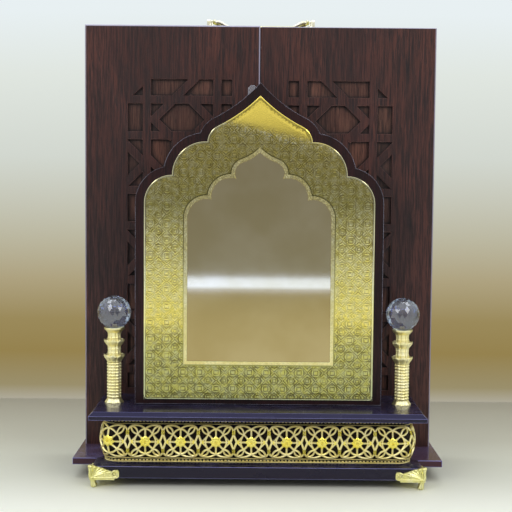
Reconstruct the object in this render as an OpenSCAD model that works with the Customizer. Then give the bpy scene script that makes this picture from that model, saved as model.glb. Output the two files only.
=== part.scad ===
// A wooden display stand for a Quran: a tall backboard case on a footed base,
// a ledge with two pillars, and a mihrab-shaped door that closes a book niche.
// Millimetres, +Z up, front towards -Y, origin on the floor under the middle.

/* [Backboards and case] */
// Width of one backboard
board_w = 163.8; // [150:0.2:200]
// Height of the left backboard
board_h = 396.5; // [350:0.5:480]
// How much shorter the right backboard is
board_step = 0.7; // [0:0.1:1.5]
// Thickness of a backboard
board_t = 10; // [8:0.5:16]
// Chamfer along the front edges of a backboard
board_chamfer = 0.8; // [0.3:0.1:2]
// Joint line between the two backboards
seam = 0.8; // [0.4:0.1:2]
// Depth of the case frame behind the backboards
case_depth = 24; // [18:1:40]
// Width of the case stiles and rails
stile_w = 18; // [14:1:30]
// Thickness of the back panel
back_t = 4; // [3:0.5:8]

/* [Carved field] */
// Plain margin between a backboard's outer edge and the carving
field_side = 40; // [30:1:50]
// Plain margin above the carving
field_top = 50; // [35:1:70]
// Width of the carved field
field_w = 98; // [80:1:104]
// Height of the carved field
field_h = 292; // [150:1:298]
// Depth of the carved pockets
carve_depth = 2.6; // [1:0.2:4]
// Width of the straps left standing between the pockets
strap_w = 7.4; // [5:0.2:10]
// Height over which the strapwork repeats
strap_period = 84.8; // [70:0.2:110]

/* [Base] */
// Height of the plinth's underside above the floor
leg_h = 8; // [6:0.5:20]
// Half width of the plinth
plinth_half_w = 145.5; // [130:0.5:150]
// Distance from the backboards' face to the plinth's face
plinth_front = 84; // [78:0.5:100]
// Height of the plinth's flat face
plinth_face_h = 10.3; // [8:0.1:16]
// Run of the sloped top of the plinth
plinth_slope_run = 8; // [4:0.5:12]
// Rise of the sloped top of the plinth
plinth_slope_rise = 2.2; // [1:0.1:5]
// Half width of the base plate
plate_half_w = 167.7; // [165:0.1:190]
// Distance from the backboards' face to the base plate's front edge
plate_front = 53.7; // [40:0.1:60]
// Thickness of the base plate
plate_t = 6; // [5:0.5:12]
// Thickness of the batten under the back of the base plate
batten_t = 4; // [3:0.5:8]
// Depth of that batten
batten_depth = 34; // [24:1:38]

/* [Riser and pierced band] */
// Half width of the riser at the edges of its cushion moulding
riser_half_w = 136.2; // [120:0.1:140]
// Distance from the backboards' face to the riser's face
riser_front = 74.6; // [66:0.1:76]
// Corner radius of the riser in plan
riser_corner = 13; // [6:1:20]
// Height of the riser above the plinth's top
riser_h = 39.5; // [34:0.5:60]
// Height of the cushion moulding
cushion_h = 33; // [26:0.5:33]
// How far the cushion moulding bulges
cushion_bulge = 4.4; // [2:0.1:6]
// Thickness of the pierced band
band_t = 1.2; // [0.8:0.1:2]
// Height of the beaded rim above and below the cushion
rim_h = 2.4; // [1.5:0.1:3]

/* [Ledge] */
// Half width of the ledge's top
ledge_half_w = 144.5; // [135:0.5:150]
// Distance from the backboards' face to the front of the ledge's top
ledge_front = 85.5; // [76:0.5:90]
// Thickness of the ledge
ledge_t = 7; // [6:0.5:14]
// Run and drop of the moulded edge
nose = 3.5; // [3:0.5:6]

/* [Feet] */
// Length of a foot's wings along the plinth
wing_len = 24; // [16:0.5:34]
// Height of a wing at the corner
wing_h = 11.6; // [8:0.1:12.5]
// Thickness of a wing
wing_t = 2; // [1.5:0.1:3]
// Radius of a leg
leg_r = 2.7; // [2:0.1:5]
// Thickness of a foot's sole plate
sole_t = 1.4; // [1:0.1:3]
// Radius of the plain back feet
back_foot_r = 8; // [5:0.5:14]

/* [Pillars] */
// Distance of the pillars from the middle
pillar_x = 131.2; // [122:0.1:136]
// Distance of the pillars from the backboards' face
pillar_y = 42; // [20:0.5:60]
// Radius of the threaded stud inside a pillar
stud_r = 2; // [1.5:0.1:2.5]
// Diameter of the crystal ball
ball_d = 30.6; // [24:0.2:32]
// Height of the ribbed shaft
shaft_h = 33; // [20:1:60]
// Number of ribs round the shaft
shaft_ribs = 12; // [8:1:24]

/* [Mihrab door] */
// Distance from the backboards' face to the door's wooden face
door_front = 50.4; // [40:0.2:54]
// Thickness of the door board
door_t = 6; // [5:0.5:8]
// Wooden margin round the gold plate
door_margin = 8; // [4:0.5:9]
// Height of the gold plate above the door's lower edge
plate_lift = 4; // [2:0.5:10]
// Thickness of the gold plate
gold_t = 1; // [0.6:0.1:2]
// Half width of the gold plate
gold_half_w = 103.5; // [90:0.5:106]
// Height of the gold plate's straight sides
gold_spring = 178; // [120:1:210]
// Height of the gold plate's point
gold_apex = 274; // [250:1:320]
// Half width of the raised bead frame
bead_half_w = 66; // [50:1:70]
// Height of the bead frame's lower edge on the gold plate
bead_lift = 34; // [26:0.5:60]
// Width of the raised bead
bead_w = 3; // [2:0.2:4]
// Height of the raised bead
bead_h = 1; // [0.5:0.1:1.5]
// Thickness of the polished centre plate
centre_t = 0.6; // [0.4:0.1:0.8]
// Running gap between the door and what it closes on
door_gap = 0.6; // [0.4:0.1:1.2]

/* [Niche and hinges] */
// How far the niche's sides lie inside the gold plate's edge
niche_inset = 9; // [7:0.5:14]
// How far the niche's peak lies below the gold plate's point
niche_peak_in = 6; // [4:1:20]
// Thickness of the niche wall
niche_t = 5; // [4:0.5:8]
// Thickness of the niche's back
niche_back_t = 3; // [2:0.5:5]
// Radius of a hinge knuckle
knuckle_r = 2.2; // [2:0.1:2.4]
// Radius of a hinge pin
pin_r = 1; // [0.8:0.1:1.2]
// Height of a hinge
hinge_h = 34; // [24:1:44]
// Thickness of a hinge leaf
leaf_t = 1; // [0.8:0.1:1.4]
// Length of a hinge leaf
leaf_w = 10; // [8:0.5:11]
// Diameter of the catch magnet
magnet_d = 4; // [3:0.1:4]
// Width of the clear pull tab
tab_w = 8; // [6:0.5:14]

/* [Carrying handle] */
// Distance between the handle's posts
handle_span = 91; // [70:1:140]
// Height of the handle's pivot above the case
pivot_h = 5; // [4:0.5:9]
// Length of the handle's arms
arm_len = 19; // [14:0.5:19]
// Radius of the handle's grip
grip_r = 2.2; // [1.5:0.1:3]
// How far each arm leans inwards from its pivot to the grip
arm_lean = 8.5; // [0:0.5:14]

/* [Fits] */
// Radial clearance of a turning pin in its bore
pin_fit = 0.05; // [0.02:0.01:0.1]
// Radial clearance of a screw, stud or glued plug in its hole
seat_fit = 0.05; // [0.02:0.01:0.2]

/* [Hidden] */
$fn = 64;
case_w = 2 * board_w + seam;
case_t = board_t + case_depth + back_t;
overall_front = ledge_front + nose;
face_y = (overall_front - case_t) / 2;          // plane of the backboards' face
back_y = face_y + case_t;
plate_z = leg_h + batten_t;
board_z = plate_z + plate_t;                    // underside of the case
case_top = board_z + board_h;
plinth_top = leg_h + plinth_face_h + plinth_slope_rise;
riser_top = plinth_top + riser_h;
cushion_z = riser_top - 4 - cushion_h / 2;      // mid height of the cushion
cushion_r = (pow(cushion_h / 2, 2) + pow(cushion_bulge, 2)) / (2 * cushion_bulge);
ledge_top = riser_top + ledge_t;
gold_z = ledge_top + door_gap + plate_lift;
door_y = face_y - door_front;                   // the door's wooden face
door_back_y = door_y + door_t;
niche_front_y = door_back_y + door_gap;
niche_drop = gold_z - ledge_top;
niche_half_w = gold_half_w - niche_inset;
niche_peak = gold_apex - niche_peak_in;
niche_slope = (niche_peak - gold_spring) / niche_half_w;
niche_inner_peak = niche_peak - niche_t * sqrt(1 + niche_slope * niche_slope);
niche_inner_eave = niche_inner_peak - niche_slope * (niche_half_w - niche_t);
magnet_len = 6;

// Mihrab outlines, as [half width, spring height, lower lobe radius, upper lobe x, y, radius,
// crown x, y, radius, apex height]
GOLD = [gold_half_w, gold_spring, 25, gold_half_w - 55, gold_spring + 25, 30,
        30.5, gold_spring + 54, 16.5, gold_apex];
BEAD = [bead_half_w, gold_spring - 13 - bead_lift, 18.5, bead_half_w - 40,
        gold_spring + 5.5 - bead_lift, 19, 12, gold_spring + 27 - bead_lift, 11.8,
        gold_apex - 48 - bead_lift];

hinge_x = niche_half_w + leaf_t / 2 + knuckle_r + 0.1;
hinge_y = door_back_y + knuckle_r + 0.3;
hinge_low = gold_z + 22;
hinge_high = gold_z + gold_spring - 22 - hinge_h;
leaf_screw_r = 1.1;
leaf_screw_head_r = 1.8;
leaf_screw_len = 4;

pillar_base_h = 4.5;
gallery_h = 31.5;                               // balconies, necks and cup above the shaft
cup_z = ledge_top + pillar_base_h + shaft_h + gallery_h;
ball_sink = 1.5;
ball_z = cup_z + ball_d / 2 - ball_sink;

handle_y = face_y + board_t + 6;
handle_z = case_top + pivot_h;
post_w = 6;
post_offset = 4;
screw_r = 1.6;
screw_head_r = 3;
screw_len = 10;
handle_pin_r = 1.4;
handle_pin_len = 7.4;
arm_r = 2;
mount_r = 5.5;
mount_t = 1.4;
ear_t = 2.8;
dowel_r = 2.5;
dowel_up = 12;
tab_x = -7.4;
tab_len = 18;
tab_t = 2;
sole_w = 20;
foot_screw_in = 14;
foot_stud_in = 5;
magnet_z = gold_z + gold_spring / 2;

walnut = [0.24, 0.13, 0.10];
lacquer = [0.07, 0.05, 0.08];
gold = [0.83, 0.68, 0.22];
steel = [0.70, 0.70, 0.72];

// ---------------------------------------------------------------- outlines and sweeps

// Radius of the hollow curve that runs from the crown's disc to a 45 degree point
function ogee_r(o) = let (a = o[6], b = o[9] - o[7], r = o[8])
    (a * a + b * b - r * r) / (2 * r - sqrt(2) * (b - a));

// Mihrab outline standing on y = 0, made bigger by grow, its foot lowered by drop
module mihrab(o, grow = 0, drop = 0) {
    hollow = ogee_r(o);
    hx = hollow / sqrt(2);
    hy = o[9] + hollow / sqrt(2);
    reach = norm([hx - o[6], hy - o[7]]);
    join = [o[6] + (hx - o[6]) / reach * (o[8] + grow), o[7] + (hy - o[7]) / reach * (o[8] + grow)];
    tip = hy - sqrt(pow(hollow - grow, 2) - hx * hx);
    translate([-o[0] - grow, -drop]) square([2 * (o[0] + grow), o[1] + drop]);
    for (s = [-1, 1]) {
        translate([s * (o[0] - o[2]), o[1]]) circle(o[2] + grow);
        translate([s * o[3], o[4]]) circle(o[5] + grow);
        translate([s * o[6], o[7]]) circle(o[8] + grow);
    }
    translate([-o[0] + o[2], -drop]) square([2 * (o[0] - o[2]), o[1] + 0.9 * (o[2] + grow) + drop]);
    translate([-o[3], -drop]) square([2 * o[3], o[4] + 0.9 * (o[5] + grow) + drop]);
    difference() {
        polygon([[-o[6], o[4]], [o[6], o[4]], [o[6], o[7]], join, [0, tip], [-join[0], join[1]],
                 [-o[6], o[7]]]);
        for (s = [-1, 1]) translate([s * hx, hy]) circle(hollow - grow, $fn = 180);
    }
}

// Stands a flat outline up, front face at y, going back by t
module stand_up(y, z, t) {
    translate([0, y + t, z]) rotate([90, 0, 0]) linear_extrude(t) children();
}

// Sweeps a profile (x outwards, y up) along the left side, front and right side of a block
module three_sides(half_w, front, corner) {
    run = front - corner;
    translate([-half_w + corner, face_y - front, 0]) rotate([90, 0, 90])
        linear_extrude(2 * (half_w - corner)) mirror([1, 0]) children();
    for (s = [0, 1]) mirror([s, 0, 0]) {
        translate([half_w, face_y, 0]) rotate([90, 0, 0]) linear_extrude(run) children();
        translate([half_w - corner, face_y - run, 0]) rotate([0, 0, -90])
            rotate_extrude(angle = 90) translate([corner, 0]) children();
    }
}

// A board with one profile across its depth and one across its width, mitred at the corners
module moulded_board(half_w, depth_profile, width_profile) {
    intersection() {
        translate([-half_w, 0, 0]) rotate([90, 0, 90]) linear_extrude(2 * half_w)
            polygon(depth_profile);
        translate([0, face_y, 0]) rotate([90, 0, 0]) linear_extrude(2 * overall_front)
            polygon(width_profile);
    }
}

// Countersunk screw, head flush with z = 0 and shank down -Z; grow makes its hole
module screw(r, head_r, len, grow = 0) {
    rotate_extrude() polygon([[0, 0], [head_r + grow, 0], [r + grow, -(head_r - r)],
                              [r + grow, -len - grow], [0, -len - grow]]);
}

// ---------------------------------------------------------------- base

module dowel_places() {
    for (x = [-0.75, -0.25, 0.25, 0.75]) translate([x * board_w, face_y + board_t / 2, board_z])
        children();
}

module dowel_shape(grow = 0) {
    translate([0, 0, -plate_t / 2 - grow])
        cylinder(r = dowel_r + grow, h = plate_t / 2 + dowel_up + 2 * grow);
}

// Places of the screws that hold the front feet, heads in the sole plates
module front_foot_screws() {
    for (s = [-1, 1])
        translate([s * (plinth_half_w - foot_screw_in), face_y - plinth_front + foot_screw_in,
                   leg_h - sole_t]) mirror([0, 0, 1]) children();
}

// Places of the back feet on the underside of the batten
module back_foot_places() {
    for (s = [-1, 1]) translate([s * (plate_half_w - 22), back_y - batten_depth / 2, leg_h])
        children();
}

// Threaded stud that joins a back foot to the batten
module foot_stud(grow = 0) {
    translate([0, 0, -foot_stud_in - grow]) cylinder(r = screw_r + grow,
                                                     h = foot_stud_in + batten_t + grow);
}

module base_plate() {
    color(lacquer) difference() {
        translate([-plate_half_w, face_y - plate_front, plate_z])
            cube([2 * plate_half_w, plate_front + case_t, plate_t]);
        dowel_places() dowel_shape(seat_fit);
    }
}

module rear_batten() {
    color(lacquer) difference() {
        translate([-plate_half_w + 10, back_y - batten_depth, leg_h])
            cube([2 * plate_half_w - 20, batten_depth, batten_t]);
        back_foot_places() foot_stud(seat_fit);
    }
}

module plinth_board() {
    shoulder = leg_h + plinth_face_h;
    back = face_y - plate_front;
    color(lacquer) difference() {
        moulded_board(plinth_half_w,
            [[back, leg_h], [back, plinth_top], [face_y - plinth_front + plinth_slope_run, plinth_top],
             [face_y - plinth_front, shoulder], [face_y - plinth_front, leg_h]],
            [[-plinth_half_w, leg_h], [-plinth_half_w, shoulder],
             [-plinth_half_w + plinth_slope_run, plinth_top],
             [plinth_half_w - plinth_slope_run, plinth_top],
             [plinth_half_w, shoulder], [plinth_half_w, leg_h]]);
        front_foot_screws() screw(screw_r, screw_head_r, screw_len, seat_fit);
    }
}

module cushion_face(r) {
    intersection() {
        translate([cushion_bulge - cushion_r, cushion_z]) circle(r, $fn = 96);
        translate([-riser_corner, cushion_z - cushion_h / 2])
            square([riser_corner + cushion_bulge + band_t, cushion_h]);
    }
}

module riser_block() {
    back_step = face_y - plate_front;
    color(lacquer) {
        three_sides(riser_half_w, riser_front, riser_corner) {
            union() {
                translate([-riser_corner / 2, plinth_top]) square([riser_corner / 2, riser_h]);
                cushion_face(cushion_r);
            }
        }
        translate([-riser_half_w + riser_corner / 2, face_y - riser_front + riser_corner, plinth_top])
            cube([2 * riser_half_w - riser_corner, riser_front - riser_corner, riser_h]);
        translate([-riser_half_w + riser_corner, face_y - riser_front + riser_corner / 2, plinth_top])
            cube([2 * (riser_half_w - riser_corner), riser_front - riser_corner, riser_h]);
        translate([-riser_half_w + riser_corner, back_step, board_z])
            cube([2 * (riser_half_w - riser_corner), plate_front, plinth_top - board_z]);
    }
}

module filigree_band() {
    color(gold) three_sides(riser_half_w, riser_front, riser_corner) {
        union() {
            difference() {
                cushion_face(cushion_r + band_t);
                cushion_face(cushion_r);
                translate([-riser_corner, plinth_top]) square([riser_corner, riser_h]);
            }
            for (s = [-1, 1]) translate([0, cushion_z + s * (cushion_h + rim_h) / 2 - rim_h / 2])
                square([band_t, rim_h]);
        }
    }
}

module ledge_board() {
    lip = ledge_top - nose;
    front = face_y - ledge_front;
    half = ledge_half_w + nose;
    color(lacquer) difference() {
        moulded_board(half,
            [[face_y, riser_top], [face_y, ledge_top], [front, ledge_top], [front - nose, lip],
             [front - nose, riser_top]],
            [[-half, riser_top], [-half, lip], [-ledge_half_w, ledge_top], [ledge_half_w, ledge_top],
             [half, lip], [half, riser_top]]);
        pillar_places() translate([0, 0, riser_top - 1]) cylinder(r = stud_r + seat_fit, h = ledge_t + 2);
    }
}

// ---------------------------------------------------------------- feet

module foot_wing() {
    linear_extrude(wing_t) polygon([
        [-wing_t, 0], [-wing_t, wing_h], [1, wing_h], [4, wing_h - 1.2], [wing_len * 0.35, wing_h - 2],
        [wing_len * 0.6, wing_h - 4.2], [wing_len * 0.74, wing_h - 5.4], [wing_len * 0.84, wing_h - 4],
        [wing_len - 1, wing_h - 4.2], [wing_len, wing_h - 6], [wing_len, 1.4], [wing_len - 2, 0]]);
}

// Cast corner foot, its corner at the plinth's front left corner
module front_foot() {
    translate([-plinth_half_w, face_y - plinth_front, 0]) {
        translate([0, 0, leg_h]) rotate([90, 0, 0]) foot_wing();
        translate([0, 0, leg_h]) rotate([90, 0, 90]) mirror([0, 0, 1]) foot_wing();
        difference() {
            translate([-wing_t, -wing_t, leg_h - sole_t]) cube([sole_w + wing_t, sole_w + wing_t, sole_t]);
            translate([foot_screw_in, foot_screw_in, leg_h - sole_t]) mirror([0, 0, 1])
                screw(screw_r, screw_head_r, screw_len, seat_fit);
        }
        translate([leg_r - wing_t / 2, leg_r - wing_t / 2, 0]) rotate_extrude() polygon([
            [0, 0], [leg_r * 0.7, 0], [leg_r, leg_h * 0.16], [leg_r, leg_h * 0.32],
            [leg_r * 0.6, leg_h * 0.5], [leg_r * 0.85, leg_h - sole_t], [0, leg_h - sole_t]]);
    }
}

module front_foot_left() { color(gold) front_foot(); }
module front_foot_right() { color(gold) mirror([1, 0, 0]) front_foot(); }

module rear_feet() {
    color(gold) back_foot_places() difference() {
        rotate_extrude() polygon([[0, -leg_h], [back_foot_r - 1.5, -leg_h], [back_foot_r, 1.5 - leg_h],
                                  [back_foot_r, 0], [0, 0]]);
        foot_stud(seat_fit);
    }
}

module base_screws() {
    color(steel) {
        front_foot_screws() screw(screw_r, screw_head_r, screw_len);
        back_foot_places() foot_stud();
    }
}

// ---------------------------------------------------------------- backboards and case

// A strap between two points of the carved field, u from the outer edge and v down from the top
module strap(a, b) {
    d = b - a;
    translate([a[0], -a[1]]) rotate(atan2(-d[1], d[0]))
        translate([-strap_w / 2, -strap_w / 2]) square([norm(d) + strap_w, strap_w]);
}

// Pocket outlines of the carved field: everything in it that no strap covers
module carved_pockets() {
    mid = field_side + field_w / 2 + 2;
    side = 33;                                   // from the middle to the upright straps
    bar_up = 18.4;                               // from a star's middle to the bar above it
    bar_down = 15;                               // and to the bar below it
    star = 26.4;                                 // half diagonal of the diamond straps
    first = field_top + 37.5;                    // middle of the highest star
    spur = 14;                                   // side of the spurs outside the right upright
    low = 58;                                    // from a star's middle to the foot of its motif
    high = 25;                                   // and to the head of the motif below it
    difference() {
        translate([field_side, -field_top - field_h]) square([field_w, field_h]);
        for (s = [-1, 1]) strap([mid + s * side, field_top], [mid + s * side, field_top + field_h]);
        for (k = [0 : ceil(field_h / strap_period)]) let (v = first + k * strap_period) {
            for (bar = [-bar_up, bar_down])
                strap([field_side, v + bar], [field_side + field_w, v + bar]);
            for (s = [-1, 1]) {
                strap([mid + s * star, v], [mid + s * (star - bar_up), v - bar_up]);
                strap([mid + s * star, v], [mid + s * (star - bar_down), v + bar_down]);
            }
            strap([mid - star + bar_up, v - bar_up], [mid - star + 37.5, v - 37.5]);
            strap([field_side, v + high], [mid - side, v + high + mid - side - field_side]);
            strap([field_side, v + low], [mid - side, v + low - (mid - side - field_side)]);
            strap([mid - side + 1, v + 36], [mid - side + 22, v + 57]);
            strap([mid - 6, v + bar_down], [mid - 6, v + 66]);
            strap([mid + side, v + high + spur], [mid + side + spur, v + high]);
            strap([mid + side, v + low - spur], [mid + side + spur, v + low]);
        }
        polygon([[field_side - 1, -field_top + 1], [field_side + 14.5, -field_top + 1],
                 [field_side + 14.5, -field_top - 6.5], [field_side - 1, -field_top - 20]]);
    }
}

// Backboard as the left one, its outer edge at the left and its foot on z = 0
module backboard(h) {
    c = board_chamfer;
    difference() {
        intersection() {
            linear_extrude(h) polygon([[c, 0], [board_w - c / 2, 0],
                [board_w, c / 2], [board_w, board_t], [0, board_t], [0, c]]);
            rotate([90, 0, 90]) linear_extrude(board_w) polygon([[0, 0], [board_t, 0], [board_t, h],
                [c, h], [0, h - c]]);
        }
        translate([0, carve_depth, h]) rotate([90, 0, 0]) linear_extrude(carve_depth + 1)
            carved_pockets();
    }
}

module backboard_left() {
    color(walnut) difference() {
        translate([-case_w / 2, face_y, board_z]) backboard(board_h);
        dowel_places() dowel_shape(seat_fit);
    }
}

module backboard_right() {
    color(walnut) difference() {
        mirror([1, 0, 0]) translate([-case_w / 2, face_y, board_z]) backboard(board_h - board_step);
        dowel_places() dowel_shape(seat_fit);
    }
}

module base_dowels() { color("burlywood") dowel_places() dowel_shape(); }

module case_bar(x, z, w, h) {
    translate([x, face_y + board_t, z]) cube([w, case_depth, h]);
}

module back_screw_places() {
    for (s = [-1, 1], t = [0.06, 0.36, 0.65, 0.94])
        translate([s * (case_w - stile_w) / 2, back_y, board_z + t * board_h]) rotate([-90, 0, 0])
            children();
}

module stile(s) {
    color(walnut) difference() {
        case_bar(s < 0 ? -case_w / 2 : case_w / 2 - stile_w, board_z, stile_w, board_h);
        back_screw_places() screw(screw_r, screw_head_r, back_t + screw_len, seat_fit);
    }
}

module stile_left() { stile(-1); }
module stile_right() { stile(1); }

module top_rail() {
    color(walnut) difference() {
        case_bar(-case_w / 2 + stile_w, case_top - stile_w, case_w - 2 * stile_w, stile_w);
        handle_places() screw(screw_r, screw_head_r - 0.6, screw_len, seat_fit);
    }
}

module bottom_rail() {
    color(walnut) case_bar(-case_w / 2 + stile_w, board_z, case_w - 2 * stile_w, stile_w);
}

module back_panel() {
    color(walnut) difference() {
        translate([-case_w / 2, back_y - back_t, board_z]) cube([case_w, back_t, board_h]);
        back_screw_places() screw(screw_r, screw_head_r, back_t + screw_len, seat_fit);
    }
}

module back_screws() {
    color(steel) back_screw_places() screw(screw_r, screw_head_r, back_t + screw_len);
}

// ---------------------------------------------------------------- pillars

module pillar_places() {
    for (s = [-1, 1]) translate([s * pillar_x, face_y - pillar_y, 0]) children();
}

module at_pillar(s, z) {
    translate([s * pillar_x, face_y - pillar_y, z]) children();
}

// Turned piece: outline as [radius, height] points outside the stud's bore
module turned(points) {
    rotate_extrude() polygon(concat([[stud_r + seat_fit, 0]], points,
                                    [[stud_r + seat_fit, points[len(points) - 1][1]]]));
}

module pillar_base(s) {
    color(gold) at_pillar(s, ledge_top) turned([[8.8, 0], [8.8, 0.8], [7.9, 1.8], [7.1, 2.8],
                                                [7.1, pillar_base_h]]);
}

module pillar_shaft(s) {
    rib = shaft_h / shaft_ribs;
    color(gold) at_pillar(s, ledge_top + pillar_base_h) {
        turned([[5.5, 0], [5.5, shaft_h]]);
        rotate_extrude() difference() {
            for (k = [0 : shaft_ribs - 1]) translate([5.5, rib * (k + 0.5)]) circle(rib / 2);
            translate([0, 0]) square([5, shaft_h]);
        }
        translate([0, 0, shaft_h]) turned([
            [6.8, 0], [7.4, 1.6], [9.6, 4.2], [9.6, 6], [8.8, 6.4], [6.2, 6.4], [6.2, 14.6],
            [7.4, 16], [9.4, 18.2], [9.4, 19.8], [8.6, 20.2], [6.2, 20.2], [6.2, 27]]);
    }
}

module pillar_cup(s) {
    color(gold) difference() {
        at_pillar(s, cup_z - 4.5) turned([[6.4, 0], [7.2, 1], [9.2, 3.2], [9.2, 4.5]]);
        at_pillar(s, ball_z) sphere(ball_d / 2 + seat_fit);
    }
}

module crystal_ball(s) { color("azure", 0.6) at_pillar(s, ball_z) sphere(ball_d / 2); }

module pillar_base_left() { pillar_base(-1); }
module pillar_base_right() { pillar_base(1); }
module pillar_shaft_left() { pillar_shaft(-1); }
module pillar_shaft_right() { pillar_shaft(1); }
module pillar_cup_left() { pillar_cup(-1); }
module pillar_cup_right() { pillar_cup(1); }
module crystal_ball_left() { crystal_ball(-1); }
module crystal_ball_right() { crystal_ball(1); }

module pillar_studs() {
    color(steel) pillar_places() translate([0, 0, riser_top])
        cylinder(r = stud_r, h = cup_z - ball_sink - 1 - riser_top);
}

// ---------------------------------------------------------------- niche, hinges and catch

module at_magnet() {
    translate([-niche_half_w + niche_t / 2, niche_front_y, magnet_z]) rotate([-90, 0, 0]) children();
}

module leaf_screw_heights() {
    for (z = [hinge_low, hinge_high], t = [0.25, 0.75]) translate([0, 0, z + t * hinge_h]) children();
}

// Places of the screws in the leaves on the niche wall, heads outwards
module wall_screw_places() {
    leaf_screw_heights() translate([niche_half_w + leaf_t, hinge_y + leaf_w * 0.75, 0])
        rotate([0, 90, 0]) children();
}

// Places of the screws in the leaves on the door's back, heads towards the niche
module door_screw_places() {
    leaf_screw_heights() translate([hinge_x + knuckle_r + leaf_w * 0.5, door_back_y + leaf_t, 0])
        rotate([-90, 0, 0]) children();
}

// Straight side of the niche, standing on the ledge
module niche_side() {
    stand_up(niche_front_y, gold_z, face_y - niche_front_y)
        polygon([[niche_half_w, -niche_drop], [niche_half_w, gold_spring],
                 [niche_half_w - niche_t, niche_inner_eave], [niche_half_w - niche_t, -niche_drop]]);
}

// Sloping board over half of the niche
module niche_roof() {
    stand_up(niche_front_y, gold_z, face_y - niche_front_y)
        polygon([[niche_half_w, gold_spring], [0, niche_peak], [0, niche_inner_peak],
                 [niche_half_w - niche_t, niche_inner_eave]]);
}

module niche_side_left() {
    color(lacquer) difference() {
        mirror([1, 0, 0]) niche_side();
        at_magnet() translate([0, 0, -1]) cylinder(d = magnet_d + 2 * seat_fit, h = magnet_len + 1);
    }
}

module niche_side_right() {
    color(lacquer) difference() {
        niche_side();
        wall_screw_places() screw(leaf_screw_r, leaf_screw_head_r, leaf_screw_len, seat_fit);
    }
}

module niche_roof_left() { color(lacquer) mirror([1, 0, 0]) niche_roof(); }
module niche_roof_right() { color(lacquer) niche_roof(); }

module niche_back() {
    half = niche_half_w - niche_t - seat_fit;
    color(walnut) stand_up(face_y - niche_back_t, gold_z, niche_back_t)
        polygon([[-half, -niche_drop], [half, -niche_drop], [half, niche_inner_eave - seat_fit],
                 [0, niche_inner_peak - seat_fit], [-half, niche_inner_eave - seat_fit]]);
}

module catch_magnet() { color(steel) at_magnet() cylinder(d = magnet_d, h = magnet_len); }

module knuckle(z, h) {
    translate([hinge_x, hinge_y, z]) difference() {
        cylinder(r = knuckle_r, h = h);
        translate([0, 0, -1]) cylinder(r = pin_r + pin_fit, h = h + 2);
    }
}

// A web from a knuckle to its leaf, clear of the pin
module web(x, y, z, w, d, h) {
    difference() {
        translate([x, y, z]) cube([w, d, h]);
        translate([hinge_x, hinge_y, z - 1]) cylinder(r = pin_r + pin_fit, h = h + 2);
    }
}

module hinge_wall_leaves() {
    third = hinge_h / 3;
    color(gold) difference() {
        for (z = [hinge_low, hinge_high]) {
            translate([niche_half_w, hinge_y + knuckle_r + 0.2, z])
                cube([leaf_t, leaf_w, hinge_h]);
            for (k = [0, 2]) {
                knuckle(z + k * third, third - 0.15);
                web(niche_half_w, hinge_y, z + k * third, leaf_t + 1, knuckle_r + 0.4, third - 0.15);
            }
        }
        wall_screw_places() screw(leaf_screw_r, leaf_screw_head_r, leaf_screw_len, seat_fit);
    }
}

module hinge_wall_screws() {
    color(gold) wall_screw_places() screw(leaf_screw_r, leaf_screw_head_r, leaf_screw_len);
}

module hinge_pins() {
    color(gold) for (z = [hinge_low, hinge_high]) translate([hinge_x, hinge_y, z - 1]) {
        cylinder(r = pin_r, h = hinge_h + 2);
        translate([0, 0, -0.8]) cylinder(r = knuckle_r - 0.4, h = 1.6);
        translate([0, 0, hinge_h + 1.05]) cylinder(r = knuckle_r - 0.4, h = 0.95);
    }
}

module hinge_door_leaves() {
    third = hinge_h / 3;
    color(gold) difference() {
        for (z = [hinge_low, hinge_high]) {
            translate([hinge_x + knuckle_r + 0.3, door_back_y, z]) cube([leaf_w, leaf_t, hinge_h]);
            knuckle(z + third, third - 0.15);
            web(hinge_x, door_back_y, z + third, knuckle_r + 0.5, leaf_t, third - 0.15);
        }
        door_screw_places() screw(leaf_screw_r, leaf_screw_head_r, leaf_screw_len, seat_fit);
    }
}

module hinge_door_screws() {
    color(gold) door_screw_places() screw(leaf_screw_r, leaf_screw_head_r, leaf_screw_len);
}

// ---------------------------------------------------------------- mihrab door

module door_board() {
    color(walnut) difference() {
        stand_up(door_y, gold_z, door_t) mihrab(GOLD, door_margin, plate_lift);
        door_screw_places() screw(leaf_screw_r, leaf_screw_head_r, leaf_screw_len, seat_fit);
    }
}

module gold_plate() { color(gold) stand_up(door_y - gold_t, gold_z, gold_t) mihrab(GOLD); }

module bead_frame() {
    color(gold) difference() {
        stand_up(door_y - gold_t - bead_h, gold_z + bead_lift, bead_h) mihrab(BEAD, bead_w / 2, bead_w / 2);
        stand_up(door_y - gold_t - bead_h - 1, gold_z + bead_lift, bead_h + 2)
            mihrab(BEAD, -bead_w / 2, -bead_w / 2);
    }
}

module centre_plate() {
    color("wheat") stand_up(door_y - gold_t - centre_t, gold_z + bead_lift, centre_t)
        mihrab(BEAD, -bead_w / 2 - seat_fit, -bead_w / 2 - seat_fit);
}

module catch_keeper() {
    color(steel) translate([0, -door_gap, 0]) at_magnet() cylinder(d = 2 * magnet_d, h = door_gap - 0.3);
}

module pull_tab() {
    top = gold_z + gold_apex + door_margin + 2;
    color("azure", 0.6) translate([tab_x, door_back_y, 0]) rotate([-90, 0, 0])
        linear_extrude(tab_t) mirror([0, 1]) {
            translate([0, top - tab_w / 2]) circle(tab_w / 2);
            translate([-tab_w / 2, top - tab_len]) square([tab_w, tab_len - tab_w / 2]);
        }
}

// ---------------------------------------------------------------- carrying handle

module handle_places() {
    for (s = [-1, 1]) translate([s * handle_span / 2, handle_y, case_top + mount_t]) children();
}

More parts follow.
